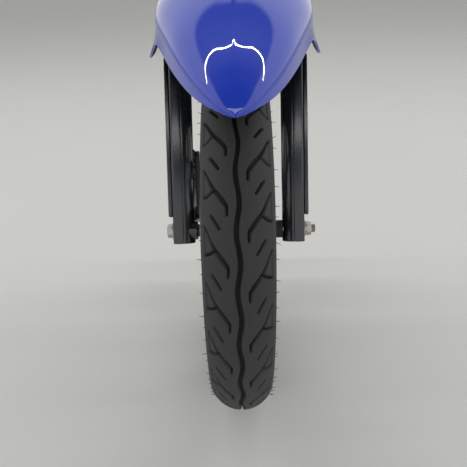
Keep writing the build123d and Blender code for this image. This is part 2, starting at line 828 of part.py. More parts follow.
# Brake caliper on its bracket, behind the right leg and over the disc's rear edge
turn = math.radians(caliper_angle)
caliper_out = Vector(math.sin(turn), math.cos(turn))
caliper_along = Vector(math.cos(turn), -math.sin(turn))
caliper_outer_r = disc_r + caliper_rim_gap + caliper_bridge
caliper_height = caliper_outer_r - caliper_inner_r


def caliper_spot(out, along):
    """A place in the side view: out from the axle through the caliper, and along its length."""
    spot = caliper_out * out + caliper_along * along
    return Location((spot.X, spot.Y, 0), (0, 0, -caliper_angle))


disc_inner_x = -disc_face_x
disc_outer_x = -disc_face_x - disc_height
jaw_inner_x = disc_inner_x + pad_gap + pad_height
jaw_outer_x = disc_outer_x - pad_gap - pad_height
ear_place = caliper_length / 2 + slide_ear_r + bracket_gap
ear_out = (caliper_inner_r + caliper_outer_r) / 2 - slide_ear_r * 1.5
with BuildPart() as caliper:
    with BuildSketch(side_at(jaw_inner_x + caliper_jaw_inner)):
        with Locations(caliper_spot((caliper_inner_r + caliper_outer_r) / 2, 0)):
            RectangleRounded(caliper_length, caliper_height, caliper_corner_r)
    extrude(amount=jaw_outer_x - caliper_jaw_outer - jaw_inner_x - caliper_jaw_inner)
    with BuildSketch(side_at(jaw_inner_x)):
        Circle(disc_r + caliper_rim_gap)
    extrude(amount=jaw_outer_x - jaw_inner_x, mode=Mode.SUBTRACT)
    with BuildSketch(side_at(jaw_outer_x - caliper_jaw_outer)):
        with Locations(caliper_spot(caliper_inner_r + piston_r, 0)):
            Circle(piston_r)
    extrude(amount=-piston_proud)
    chamfer(caliper.faces().sort_by(Axis.X)[0].edges(), piston_chamfer)
    with BuildSketch(side_at(caliper_lug_face_x - bracket_gap)):
        for end in (-1, 1):
            with Locations(caliper_spot(ear_out, end * ear_place)):
                Circle(slide_ear_r)
            with Locations(caliper_spot(ear_out, end * (ear_place - slide_ear_r))):
                Rectangle(2 * slide_ear_r, 2 * slide_ear_r)
        for end in (-1, 1):
            with Locations(caliper_spot(ear_out, end * ear_place)):
                Circle(slide_pin_r + running_gap, mode=Mode.SUBTRACT)
    extrude(amount=-slide_ear_height)
    inlet = side_at(jaw_outer_x - caliper_jaw_outer / 2).from_local_coords(
        Vector(*(caliper_out * caliper_outer_r + caliper_along * caliper_inlet_along))
    )
    inlet_direction = fork_plane.y_dir * caliper_out.X + fork_up * caliper_out.Y
    with BuildSketch(Plane(origin=inlet, x_dir=(1, 0, 0), z_dir=inlet_direction)):
        Circle(caliper_inlet_r)
    extrude(amount=-caliper_inlet_depth, mode=Mode.SUBTRACT)
finish(caliper.part, "caliper")

with BuildPart() as caliper_bracket:
    with BuildSketch(side_at(caliper_lug_face_x)) as plate:
        with Locations((caliper_lug_y, caliper_lug_low_t), (caliper_lug_y, caliper_lug_high_t)):
            Circle(caliper_lug_r)
        for end in (-1, 1):
            with Locations(caliper_spot(ear_out, end * ear_place)):
                Circle(slide_ear_r)
        make_hull()
        with Locations(caliper_spot((caliper_inner_r + caliper_outer_r) / 2 + caliper_corner_r, 0)):
            Rectangle(
                caliper_length + 2 * bracket_gap,
                caliper_height + 2 * caliper_corner_r + 2 * bracket_gap,
                mode=Mode.SUBTRACT,
            )
        with Locations((caliper_lug_y, caliper_lug_low_t), (caliper_lug_y, caliper_lug_high_t)):
            Circle(caliper_bolt_r + running_gap, mode=Mode.SUBTRACT)
        for end in (-1, 1):
            with Locations(caliper_spot(ear_out, end * ear_place)):
                Circle(slide_pin_r + running_gap, mode=Mode.SUBTRACT)
    extrude(amount=bracket_wall)
finish(caliper_bracket.part, "caliper_bracket")

with BuildPart() as brake_pads:
    for x, amount in ((jaw_inner_x, -pad_height), (jaw_outer_x, pad_height)):
        with BuildSketch(side_at(x)):
            with Locations(caliper_spot(disc_r - pad_band / 2 - 1, 0)):
                Rectangle(pad_length, pad_band)
        extrude(amount=amount)
finish(brake_pads.part, "brake_pads")

lug_outer_x = leg_r / 2 - leg_outer_x
with BuildPart() as caliper_bolts:
    for t in (caliper_lug_low_t, caliper_lug_high_t):
        with BuildSketch(side_at(caliper_lug_face_x + bracket_wall)):
            with Locations((caliper_lug_y, t)):
                Circle(caliper_bolt_r)
        extrude(amount=lug_outer_x - caliper_lug_face_x - bracket_wall)
        with BuildSketch(side_at(lug_outer_x)):
            with Locations((caliper_lug_y, t)):
                Circle(caliper_bolt_head_r)
        extrude(amount=-caliper_bolt_head_height)
    for end in (-1, 1):
        with BuildSketch(side_at(caliper_lug_face_x + bracket_wall)):
            with Locations(caliper_spot(ear_out, end * ear_place)):
                Circle(slide_pin_r)
        extrude(amount=-bracket_wall - bracket_gap - slide_ear_height)
        with BuildSketch(side_at(caliper_lug_face_x - bracket_gap - slide_ear_height)):
            with Locations(caliper_spot(ear_out, end * ear_place)):
                Circle(caliper_bolt_head_r)
        extrude(amount=-caliper_bolt_head_height)
finish(caliper_bolts.part, "caliper_bolts")


def arch_point(waist, ridge, waist_z, turn):
    """A point of the arch's upper part, turn degrees down from the ridge towards the waist."""
    angle = math.radians(turn)
    return (waist * math.sin(angle), waist_z + (ridge - waist_z) * math.cos(angle) ** mudguard_ridge_power)


def mudguard_section(waist, foot, ridge, waist_z, foot_z, wall):
    """One arch across the mudguard: a ridge, round flanks and a foot that flares; wall sets it inside."""
    inner = (waist - wall, ridge - wall, waist_z)
    bottom = foot_z - (4 * wall if wall else 0)
    with BuildSketch() as section:
        with BuildLine():
            Polyline((0, ridge - wall), (0, bottom), (foot - wall, bottom), (waist - wall, waist_z))
            for start, middle, end in ((90, 68, 45), (45, 23, 0)):
                ThreePointArc(arch_point(*inner, start), arch_point(*inner, middle), arch_point(*inner, end))
        make_face()
        mirror(about=Plane.YZ)
    return section.sketch


# Mudguard: the arch lofted from the beak to the fork, hollowed, its lower edge cut to shape
plate_t = yoke_bottom - bracket_drop
with BuildPart() as mudguard:
    for wall in (0, mudguard_wall):
        for behind, *sizes in mudguard_sections:
            station = Plane(origin=yoke_point + Vector(0, behind, 0), x_dir=(1, 0, 0), z_dir=(0, -1, 0))
            with BuildSketch(station):
                add(mudguard_section(*sizes, wall))
        loft(mode=Mode.SUBTRACT if wall else Mode.ADD)
    beak, tail = mudguard_edge[0], mudguard_edge[-1]
    with BuildSketch(Plane(origin=yoke_point, x_dir=(0, 1, 0), z_dir=(1, 0, 0))) as below:
        with BuildLine():
            Polyline(
                (beak[0] - mudguard_wall, beak[1]),
                *mudguard_edge,
                (tail[0] + mudguard_wall, tail[1]),
                (tail[0] + mudguard_wall, -mudguard_cut_half),
                (beak[0] - mudguard_wall, -mudguard_cut_half),
                close=True,
            )
        make_face()
        inner_corners = [v for v in below.vertices() if beak[0] < v.X < tail[0]]
        fillet(inner_corners, mudguard_edge_r)
    extrude(amount=mudguard_cut_half, both=True, mode=Mode.SUBTRACT)
    for side in (-1, 1):
        with BuildSketch(fork_at(side * leg_x, 0, leg_top)):
            Circle(mudguard_leg_opening_r)
            with Locations((0, mudguard_leg_opening_r)):
                Rectangle(2 * mudguard_leg_opening_r, 2 * mudguard_leg_opening_r)
        extrude(amount=yoke_bottom - leg_top, mode=Mode.SUBTRACT)
        with BuildSketch(fork_at(side * mudguard_boss_x, mudguard_boss_y, plate_t)):
            Circle(mudguard_boss_r)
        extrude(amount=-mudguard_boss_drop + bracket_drop)
finish(mudguard.part, "mudguard")

# Inner mudguard: a black arch behind the painted one, with turned-down lips
liner_r = tyre_r + suspension_travel + liner_gap + liner_wall - liner_shift
liner_centre = fork_plane.from_local_coords(Vector(0, 0, liner_shift))
start = math.radians(liner_start_angle)
liner_section = Plane(origin=liner_centre, x_dir=(1, 0, 0), z_dir=(0, -math.sin(start), -math.cos(start)))
liner_boss_start = liner_shift + math.sqrt((liner_r - liner_wall / 2) ** 2 - liner_boss_y ** 2)
with BuildPart() as inner_mudguard:
    with BuildSketch(liner_section):
        with Locations((0, liner_r - liner_lip / 2)):
            Rectangle(2 * liner_half, liner_lip)
        with Locations((0, liner_r - liner_wall - liner_lip / 2)):
            Rectangle(2 * (liner_half - liner_wall), liner_lip, mode=Mode.SUBTRACT)
    revolve(axis=Axis(liner_centre, (-1, 0, 0)), revolution_arc=liner_sweep_angle)
    with BuildSketch(fork_at(0, liner_boss_y, liner_boss_start)):
        Circle(mudguard_boss_r)
    extrude(amount=plate_t - liner_boss_start)
finish(inner_mudguard.part, "inner_mudguard")

# Bracket: a flat plate bolted up to the yoke, with both mudguards bolted up to it
plate_spots = (
    (-mudguard_boss_x, mudguard_boss_y),
    (mudguard_boss_x, mudguard_boss_y),
    (0, liner_boss_y),
    (-bracket_bolt_x, bracket_bolt_y),
    (bracket_bolt_x, bracket_bolt_y),
)
with BuildPart() as mudguard_bracket:
    with BuildSketch(fork_at(0, 0, plate_t)):
        with Locations((0, (bracket_front_y + bracket_back_y) / 2)):
            RectangleRounded(2 * bracket_half_x, bracket_back_y - bracket_front_y, bracket_corner_r)
        with Locations(*plate_spots):
            Circle(mudguard_bolt_r + seat_gap, mode=Mode.SUBTRACT)
    extrude(amount=bracket_plate)
finish(mudguard_bracket.part, "mudguard_bracket")

with BuildPart() as mudguard_bolts:
    with BuildSketch(fork_at(0, 0, plate_t + bracket_plate)):
        with Locations(*plate_spots[:3]):
            Circle(mudguard_bolt_head_r)
    extrude(amount=mudguard_bolt_head_height)
    with BuildSketch(fork_at(0, 0, plate_t)):
        with Locations(*plate_spots[:3]):
            Circle(mudguard_bolt_r)
    extrude(amount=bracket_plate)
    with BuildSketch(fork_at(0, 0, plate_t)):
        with Locations(*plate_spots[3:]):
            Circle(mudguard_bolt_head_r)
    extrude(amount=-mudguard_bolt_head_height)
    with BuildSketch(fork_at(0, 0, plate_t)):
        with Locations(*plate_spots[3:]):
            Circle(mudguard_bolt_r)
    extrude(amount=bracket_plate)
finish(mudguard_bolts.part, "mudguard_bolts")
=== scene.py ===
import json
import math

import bmesh
import bpy
import numpy as np
from mathutils import Matrix, Vector


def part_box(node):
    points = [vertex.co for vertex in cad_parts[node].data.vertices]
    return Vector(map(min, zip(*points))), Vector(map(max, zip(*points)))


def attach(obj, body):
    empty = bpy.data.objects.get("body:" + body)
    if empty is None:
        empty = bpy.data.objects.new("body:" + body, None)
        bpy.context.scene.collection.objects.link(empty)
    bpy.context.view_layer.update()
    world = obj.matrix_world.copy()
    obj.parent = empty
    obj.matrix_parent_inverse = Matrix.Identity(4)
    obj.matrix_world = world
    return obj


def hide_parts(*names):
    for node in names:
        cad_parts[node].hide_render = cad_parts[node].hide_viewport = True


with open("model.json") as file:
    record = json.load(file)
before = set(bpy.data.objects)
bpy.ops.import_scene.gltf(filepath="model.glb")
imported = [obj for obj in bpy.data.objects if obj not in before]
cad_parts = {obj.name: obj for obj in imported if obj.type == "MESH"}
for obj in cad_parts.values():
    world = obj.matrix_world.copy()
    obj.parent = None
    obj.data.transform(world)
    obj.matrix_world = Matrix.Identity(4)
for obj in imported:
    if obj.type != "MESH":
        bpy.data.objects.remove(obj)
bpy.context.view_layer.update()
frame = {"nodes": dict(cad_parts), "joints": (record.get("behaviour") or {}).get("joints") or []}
nodes = frame["nodes"]

# The front fork of a motor scooter with its wheel and mudguard, in metres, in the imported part's frame:
# X across, the front towards -Y, Z up. Lengths along the fork start at the axle.
MM = 0.001
TAU = 2 * math.pi

# Places and sizes taken from the frame
AXLE = np.array(frame["joints"][0]["pos_m"])
TYRE_R = 0.2408
TYRE_HALF = 0.0372
FLOOR_Z = float(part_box("tyre")[0][2])
RAKE = math.radians(26.5)
ACROSS = np.array([1.0, 0.0, 0.0])
UP_FORK = np.array([0.0, math.sin(RAKE), math.cos(RAKE)])
BEHIND_FORK = np.array([0.0, math.cos(RAKE), -math.sin(RAKE)])
LEG_X = float(sum(corner[0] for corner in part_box("fork_tube_left")) / 2)


def fork_point(x, behind, along):
    """The point x across, so far behind the legs' plane and so far up the fork from the axle."""
    return AXLE + x * ACROSS + behind * BEHIND_FORK + along * UP_FORK


# ---- meshes from grids of points ----

WELD = 1e-6
SLIVER = 1e-7
SHARP_ANGLE = 35


def grid_faces(rows, columns, close_rows, close_columns):
    """Corner numbers of the quads between neighbouring points of a grid, closed on itself where asked."""
    index = np.arange(rows * columns).reshape(rows, columns)
    if close_rows:
        index = np.vstack([index, index[:1]])
    if close_columns:
        index = np.hstack([index, index[:, :1]])
    quads = [index[:-1, :-1], index[:-1, 1:], index[1:, 1:], index[1:, :-1]]
    return np.stack(quads, -1).reshape(-1, 4)


def make_mesh(name, grids, weld=True, values=None):
    """One mesh from grids given as (points, close_rows, close_columns), with optional values per point."""
    points, quads, offset = [], [], 0
    for grid, close_rows, close_columns in grids:
        rows, columns = grid.shape[:2]
        points.append(grid.reshape(-1, 3))
        quads.append(grid_faces(rows, columns, close_rows, close_columns) + offset)
        offset += rows * columns
    points, quads = np.concatenate(points), np.concatenate(quads)
    mesh = bpy.data.meshes.new(name)
    mesh.vertices.add(len(points))
    mesh.vertices.foreach_set("co", points.astype(np.float32).ravel())
    mesh.loops.add(quads.size)
    mesh.loops.foreach_set("vertex_index", quads.astype(np.int32).ravel())
    mesh.polygons.add(len(quads))
    mesh.polygons.foreach_set("loop_start", np.arange(0, quads.size, 4, dtype=np.int32))
    for key, data in (values or {}).items():
        attribute = mesh.attributes.new(key, "FLOAT", "POINT")
        attribute.data.foreach_set("value", data.astype(np.float32).ravel())
    mesh.update(calc_edges=True)
    mesh.validate()
    if weld:
        shape = bmesh.new()
        shape.from_mesh(mesh)
        bmesh.ops.remove_doubles(shape, verts=shape.verts, dist=WELD)
        bmesh.ops.dissolve_degenerate(shape, edges=shape.edges, dist=SLIVER)
        bmesh.ops.recalc_face_normals(shape, faces=shape.faces)
        shape.to_mesh(mesh)
        shape.free()
    mesh.shade_smooth()
    return mesh


def linked(name, data):
    """A new object in the scene with that mesh, light or camera."""
    item = bpy.data.objects.new(name, data)
    bpy.context.collection.objects.link(item)
    return item


def place(name, mesh, body, finish, replaced=(), sharp=None):
    """Puts a mesh into the scene as a piece that rides on a body and stands for CAD nodes."""
    piece = linked(name, mesh)
    mesh.materials.clear()
    mesh.materials.append(finish.material)
    if sharp:
        mesh.set_sharp_from_angle(angle=math.radians(sharp))
    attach(piece, body)
    if replaced:
        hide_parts(*replaced)
    return piece


def stand_in(name, ending, grids, body, finish):
    """Places a piece made of grids that stands for the CAD node of that name."""
    label = f"{name}_{ending}"
    place(label, make_mesh(label, grids), body, FINISHES[finish], [name], SHARP_ANGLE)


def bevelled(piece, name, width, segments, degrees):
    """Rounds the edges of a piece that turn by more than the given angle."""
    bevel = piece.modifiers.new(name, "BEVEL")
    bevel.width = width
    bevel.segments = segments
    bevel.limit_method = "ANGLE"
    bevel.angle_limit = math.radians(degrees)
    bevel.harden_normals = True


def axes_for(direction):
    """Two directions square to the given one and to each other."""
    direction = np.asarray(direction, float)
    helper = ACROSS if abs(direction[0]) < 0.9 else UP_FORK
    first = np.cross(direction, helper)
    first /= np.linalg.norm(first)
    return first, np.cross(direction, first)


def turned(start, direction, profile, columns=48, radius_factor=None):
    """Surface of revolution: point = start + along * direction + radius * (cos a, sin a) round it.

    The profile lists (along, radius); radius_factor(along, radius, angle) gives a radius that also
    changes round the turn, as on a hexagon or a thread.
    """
    first, second = axes_for(direction)
    along, radius = np.array(profile, float).T[:, :, None]
    angle = np.arange(columns)[None, :] * TAU / columns
    if radius_factor:
        radius = radius_factor(along, radius, angle)
    along, radius = np.broadcast_arrays(along, radius * np.ones_like(angle))
    ring = np.cos(angle)[..., None] * first + np.sin(angle)[..., None] * second
    points = np.asarray(start) + along[..., None] * np.asarray(direction) + radius[..., None] * ring
    return points, False, True


def rounded_profile(corners, fillet, steps=4):
    """Replaces each inner corner of a profile by a short quadratic curve of the given reach."""
    corners = np.array(corners, float)
    path = [corners[0]]
    for before, corner, after in zip(corners[:-2], corners[1:-1], corners[2:]):
        ends = []
        for away in (before - corner, after - corner):
            length = np.linalg.norm(away)
            ends.append(corner + away / max(length, 1e-9) * min(fillet, length * 0.45))
        enter, leave = ends
        share = np.linspace(0, 1, steps)[:, None]
        path.extend((1 - share) ** 2 * enter + 2 * share * (1 - share) * corner + share**2 * leave)
    path.append(corners[-1])
    return np.array(path)


HEX_COLUMNS = 72
HEX_SLOPE = 0.58
HEX_STEPS = (0.04, 0.09, 0.16, 0.25)


def hexagon(apothem, low, high):
    """Radius of a hexagon with that apothem: apothem / cos(angle from the middle of its nearest side).

    It stands for the profile's points whose radius is the apothem, and is kept inside a cone past low
    and high, which rounds the corners off as on a turned bolt head.
    """

    def radius(along, limit, angle):
        flat = apothem / np.cos((angle + TAU / 12) % (TAU / 6) - TAU / 12)
        cone = apothem * 1.02 + np.minimum(along - low, high - along) / HEX_SLOPE
        return np.where(np.isclose(limit, apothem), np.minimum(flat, np.maximum(cone, 0)), limit)

    return radius


def hex_side(low, high, apothem):
    """Profile points along a hexagon's side, close together near both ends, where its corners fall."""
    reach = high - low
    shares = (0, *HEX_STEPS, 0.5, *(1 - share for share in HEX_STEPS[::-1]), 1)
    return [(low + reach * share, apothem) for share in shares]


def hex_head(start, direction, width, height, plug_r, plug):
    """A hexagon head of that width across its flats on a plain shank that runs back from start."""
    apothem = width / 2
    plug_end = [(-plug, 0), (-plug, plug_r), (0, plug_r)]
    crown = [(height, apothem * 0.8), (height * 0.95, 0)]
    profile = [*plug_end, *hex_side(0, height, apothem), *crown]
    return turned(start, direction, profile, HEX_COLUMNS, hexagon(apothem, -height, height))


def hex_nut(start, direction, width, height, bore_r):
    """A nut with a washer face, chamfered at both ends, round an open bore."""
    apothem = width / 2
    face = 0.12 * height
    washer_r = apothem * 1.18
    washer = [(0, bore_r), (0, washer_r), (face * 0.7, washer_r), (face, apothem * 1.06)]
    inner = [(height, bore_r * 1.12), (height - 0.1 * bore_r, bore_r), (0, bore_r)]
    profile = [*washer, *hex_side(face, height, apothem), *inner]
    return turned(start, direction, profile, HEX_COLUMNS, hexagon(apothem, face, height))


def socket_bolt(start, direction, radius, height, recess, shank_r, shank):
    """A round head with a hexagon recess; its shank runs back from start."""
    ease = 0.09 * radius
    floor = height * 0.42
    profile = [
        (-shank, 0), (-shank, shank_r * 0.85), (-shank * 0.96, shank_r), (0, shank_r),
        (0, radius - ease), (ease, radius), (height - 2 * ease, radius),
        (height - ease * 0.6, radius - ease * 0.6), (height, radius - 2 * ease),
        (height, recess * 1.3), (height - ease, recess), (floor, recess), (floor, 0),
    ]
    return turned(start, direction, profile, HEX_COLUMNS, hexagon(recess, -1, 1))


def rod(start, direction, radius, length, ease=0.0005):
    """A plain round bar with eased ends."""
    low_end = [(0, 0), (0, radius - ease), (ease, radius)]
    high_end = [(length - ease, radius), (length, radius - ease), (length, 0)]
    return turned(start, direction, low_end + high_end)


def arc(centre, radius, start, end, count):
    """Points round a centre from one angle to another, in degrees."""
    angle = np.radians(np.linspace(start, end, count))
    return np.asarray(centre) + radius * np.column_stack([np.cos(angle), np.sin(angle)])


def bar(outline, start, axes, low, high, ease=0.0008):
    """An outline of (u, v) points drawn out along the third axis from low to high, with rounded ends.

    Near an end the outline is moved inwards by ease * (1 - sin a) where it stands ease * (1 - cos a)
    from that end. Each end closes on the outline's middle.
    """
    edge = np.roll(outline, -1, axis=0) - np.roll(outline, 1, axis=0)
    inwards = np.column_stack([-edge[:, 1], edge[:, 0]]) / np.linalg.norm(edge, axis=1)[:, None]
    angle = np.linspace(0, math.pi / 2, 5)
    eased = outline + ease * (1 - np.sin(angle))[:, None, None] * inwards
    middle = np.broadcast_to(outline.mean(axis=0), (1, *outline.shape))
    rows = np.concatenate([middle, eased, eased[::-1], middle])
    rise = np.concatenate([[0], ease * (1 - np.cos(angle))])
    height = np.concatenate([low + rise, (high - rise)[::-1]])
    return np.asarray(start) + rows @ np.array(axes[:2]) + height[:, None, None] * axes[2], False, True


ROWS_PER_TURN = 8


def thread_rows(low, high, radius, pitch):
    """Profile points along a threaded stretch."""
    rows = int((high - low) / pitch * ROWS_PER_TURN)
    return [(along, radius) for along in np.linspace(low, high, rows)]


def wound(radius, low, high, pitch, depth):
    """Radius of a screw thread: it falls by depth * (1 - cos(turns along - turn round)) / 2."""

    def cut_in(along, limit, angle):
        wave = (1 - np.cos(TAU * along / pitch - angle)) / 2
        fade = np.clip((along - low) / pitch, 0, 1) * np.clip((high - along) / pitch, 0, 1)
        return np.where(np.isclose(limit, radius), limit - depth * wave * fade, limit)

    return cut_in


# ---- finishes ----


class Signal:
    """A socket of a material's nodes. Python's operators on it add the Math nodes."""

    def __init__(self, finish, socket):
        self.finish = finish
        self.socket = socket

    def math(self, operation, other=0.0, swap=False):
        pair = (other, self) if swap else (self, other)
        return self.finish.node("ShaderNodeMath", {"operation": operation}, dict(enumerate(pair)))

    def __add__(self, other):
        return self.math("ADD", other)

    def __sub__(self, other):
        return self.math("SUBTRACT", other)

    def __rsub__(self, other):
        return self.math("SUBTRACT", other, swap=True)

    def __mul__(self, other):
        return self.math("MULTIPLY", other)

    def __pow__(self, other):
        return self.math("POWER", other)

    __radd__ = __add__
    __rmul__ = __mul__

    def rising(self, low, high):
        """0 below low, 1 above high and a smooth step between."""
        settings = {"interpolation_type": "SMOOTHSTEP"}
        inputs = {"Value": self, "From Min": low, "From Max": high}
        return self.finish.node("ShaderNodeMapRange", settings, inputs)


class Finish:
    """One finish: a Principled shader whose varying sockets are fed by signals."""

    def __init__(self, name, **sockets):
        self.material = bpy.data.materials.new(name)
        self.material.use_nodes = True
        self.tree = self.material.node_tree
        self.tree.nodes.clear()
        self.shader = self.tree.nodes.new("ShaderNodeBsdfPrincipled")
        output = self.tree.nodes.new("ShaderNodeOutputMaterial")
        self.tree.links.new(self.shader.outputs[0], output.inputs["Surface"])
        self.set(**{key.replace("_", " "): value for key, value in sockets.items()})

    def node(self, kind, settings=None, inputs=None, output=0):
        """Adds a node with its settings and its sockets' values or links, and returns an output."""
        node = self.tree.nodes.new(kind)
        for key, value in (settings or {}).items():
            setattr(node, key, value)
        for key, value in (inputs or {}).items():
            self.feed(node.inputs[key], value)
        return Signal(self, node.outputs[output])

    def feed(self, socket, value):
        if isinstance(value, Signal):
            self.tree.links.new(value.socket, socket)
        elif socket.type == "RGBA" and len(value) == 3:
            socket.default_value = (*value, 1)
        else:
            socket.default_value = value

    def set(self, **sockets):
        for key, value in sockets.items():
            self.feed(self.shader.inputs[key], value)

    def place(self):
        """Object coordinates, which are the part's own frame in metres."""
        return self.node("ShaderNodeTexCoord", output="Object")

    def noise(self, size, detail=3.0, roughness=0.5):
        """Noise whose lumps are about size metres across."""
        inputs = {"Vector": self.place(), "Scale": 1 / size, "Detail": detail, "Roughness": roughness}
        return self.node("ShaderNodeTexNoise", None, inputs)

    def mix(self, factor, low, high):
        """Colour between low and high."""
        inputs = {"Factor": factor, 6: low, 7: high}
        return self.node("ShaderNodeMix", {"data_type": "RGBA"}, inputs, output=2)

    def bump(self, height, distance, strength):
        """A normal that leans as a relief of that height, in metres, would make it."""
        inputs = {"Height": height, "Distance": distance, "Strength": strength}
        return self.node("ShaderNodeBump", None, inputs)


def tread_rubber():
    """Matt rubber, rougher in the grooves and darkened there by painted shade, with faint mould marks and
    dust.
    """
    finish = Finish("tread_rubber", IOR=1.5)
    groove = finish.node("ShaderNodeAttribute", {"attribute_name": "groove"}, output="Fac")
    cloud = finish.noise(0.03, 4.0)
    grain = finish.noise(0.0009, 2.0)
    speck = finish.noise(0.0035, 2.0, 0.7).rising(0.68, 0.74)
    crown = finish.mix(cloud, (0.030, 0.031, 0.032), (0.044, 0.045, 0.046))
    dusty = finish.mix(speck * 0.25, crown, (0.11, 0.108, 0.10))
    finish.set(**{
        # Painted shade: the grooves' depth darkens the base colour towards near black.
        "Base Color": finish.mix(groove.rising(0.30, 0.95), dusty, (0.006, 0.0065, 0.0068)),
        "Roughness": 0.62 + cloud * 0.14 + groove * 0.1,
        "Normal": finish.bump(grain * 0.7 + cloud * 0.3, 0.0002, 0.6),
    })
    return finish


def wall_rubber():
    """Sidewall rubber, a little smoother than the tread, with fine concentric mould lines."""
    finish = Finish("wall_rubber", IOR=1.5)
    cloud = finish.noise(0.02, 3.0)
    grain = finish.noise(0.0007, 2.0)
    finish.set(**{
        "Base Color": finish.mix(cloud, (0.030, 0.031, 0.031), (0.048, 0.049, 0.049)),
        "Roughness": 0.5 + cloud * 0.15,
        "Normal": finish.bump(grain, 0.00015, 0.5),
    })
    return finish


def gloss_paint():
    """Deep blue paint under clear coat: slow colour drift, a fine flake and faint orange peel. The inner
    side of the sheet, marked by the attribute inside, is bare black plastic."""
    finish = Finish("gloss_blue_paint", Coat_Roughness=0.02, Coat_IOR=1.6, Specular_IOR_Level=0.1)
    inside = finish.node("ShaderNodeAttribute", {"attribute_name": "inside"}, output="Fac")
    drift = finish.noise(0.12, 2.0)
    flake = finish.noise(0.0006, 1.0)
    peel = finish.noise(0.004, 2.0)
    blue = finish.mix(drift * 0.6 + flake * 0.4, (0.014, 0.042, 0.46), (0.024, 0.066, 0.62))
    finish.set(**{
        "Base Color": finish.mix(inside, blue, (0.014, 0.014, 0.016)),
        "Coat Weight": 1 - inside,
        "Roughness": 0.30 + drift * 0.08 + inside * 0.2,
        "Normal": finish.bump(peel, 0.00004, 0.25),
    })
    return finish


DISC_RINGS_SCALE = 2600.0
PAD_BAND_START = (0.0735, 0.0755)
PAD_BAND_END = (0.0975, 0.0990)


def ground_disc():
    """Ground steel: fine rings round the axle, brighter where the pads run."""
    finish = Finish("ground_disc", Metallic=1.0)
    from_axle = {0: finish.place(), 1: tuple(AXLE)}
    where = finish.node("ShaderNodeVectorMath", {"operation": "SUBTRACT"}, from_axle)
    parts = finish.node("ShaderNodeSeparateXYZ", None, {"Vector": where}, output="Y")
    height = Signal(finish, parts.socket.node.outputs["Z"])
    radius = (parts * parts + height * height) ** 0.5
    rings = {"W": radius, "Scale": DISC_RINGS_SCALE, "Detail": 2.0}
    ring = finish.node("ShaderNodeTexNoise", {"noise_dimensions": "1D"}, rings)
    band = radius.rising(*PAD_BAND_START) * (1 - radius.rising(*PAD_BAND_END))
    cloud = finish.noise(0.02, 4.0)
    dull = finish.mix(cloud, (0.30, 0.30, 0.30), (0.38, 0.38, 0.375))
    bright = finish.mix(ring, (0.50, 0.50, 0.495), (0.66, 0.66, 0.65))
    finish.set(**{
        "Base Color": finish.mix(band, dull, bright),
        "Roughness": 0.42 - band * 0.14 + (cloud - 0.5) * 0.1,
        "Normal": finish.bump(ring * band, 0.00006, 0.5),
    })
    return finish


def metal(name, light, dark, rough, metallic=1.0, grain=0.0008, grain_depth=0.00008):
    """Bare or plated metal: cloudy colour and gloss with a fine surface grain."""
    finish = Finish(name, Metallic=metallic)
    cloud = finish.noise(0.012, 4.0)
    fine = finish.noise(grain, 2.0, 0.6)
    finish.set(**{
        "Base Color": finish.mix(cloud, dark, light),
        "Roughness": rough + (cloud - 0.5) * 0.2 + (fine - 0.5) * 0.1,
        "Normal": finish.bump(fine, grain_depth, 0.6),
    })
    return finish


def coated(name, light, dark, rough, grain, depth, coat=0.0):
    """Paint, powder coat or moulded plastic: even colour, speckled gloss and a fine texture."""
    finish = Finish(name, IOR=1.48, Coat_Weight=coat, Coat_Roughness=0.15)
    cloud = finish.noise(0.025, 3.0)
    fine = finish.noise(grain, 3.0, 0.6)
    finish.set(**{
        "Base Color": finish.mix(cloud, dark, light),
        "Roughness": rough + (cloud - 0.5) * 0.15 + (fine - 0.5) * 0.1,
        "Normal": finish.bump(fine, depth, 0.5),
    })
    return finish


# After the name come the lighter and darker colour and the roughness. Coated ones go on with the grain's
# size and depth and the coat's weight, metals with how metallic they are and the grain's size and depth.
FINISHES = {
    "tread": tread_rubber(),
    "wall": wall_rubber(),
    "paint": gloss_paint(),
    "cast": coated("black_cast", (0.020, 0.020, 0.021), (0.012, 0.012, 0.013), 0.42, 0.0012, 0.0001, 0.15),
    "plastic": coated("black_plastic", (0.024, 0.024, 0.025), (0.016, 0.016, 0.017), 0.55, 0.0008, 0.0001),
    "leg": coated("leg_black", (0.012, 0.015, 0.021), (0.007, 0.009, 0.013), 0.26, 0.002, 0.00002, 0.9),
    "disc": ground_disc(),
    "steel": metal("bright_steel", (0.62, 0.62, 0.61), (0.48, 0.48, 0.48), 0.28),
    "zinc": metal("zinc_steel", (0.60, 0.58, 0.52), (0.40, 0.39, 0.36), 0.36),
    "chrome": metal("chrome_tube", (0.72, 0.73, 0.74), (0.62, 0.63, 0.64), 0.10, grain_depth=0.00001),
    "black_steel": coated(
        "black_steel", (0.026, 0.026, 0.027), (0.015, 0.015, 0.016), 0.38, 0.0016, 0.00008, 0.2
    ),
    "rubber": coated("seal_rubber", (0.022, 0.022, 0.022), (0.014, 0.014, 0.014), 0.65, 0.0006, 0.00006),
    "lining": coated("pad_lining", (0.085, 0.072, 0.060), (0.040, 0.036, 0.032), 0.85, 0.0009, 0.00025),
    "alloy": metal("caliper_alloy", (0.46, 0.45, 0.44), (0.30, 0.30, 0.30), 0.45, 0.9, 0.0014, 0.00012),
}


# ---- tyre ----

TREAD_PITCHES = 26
PITCH_ROWS = 58
TREAD_COLUMNS = 58
PITCH = TYRE_R * TAU / TREAD_PITCHES
PER_DEGREE = TYRE_R * TAU / 360
CROWN_R = 0.04067
CROWN_SAMPLES = 400
TURN_SAMPLES = 100
SHOULDER_X = 0.0346
WALL_TURN_R = TYRE_R - 0.0275
WALL_COLUMNS = 12 * TREAD_PITCHES
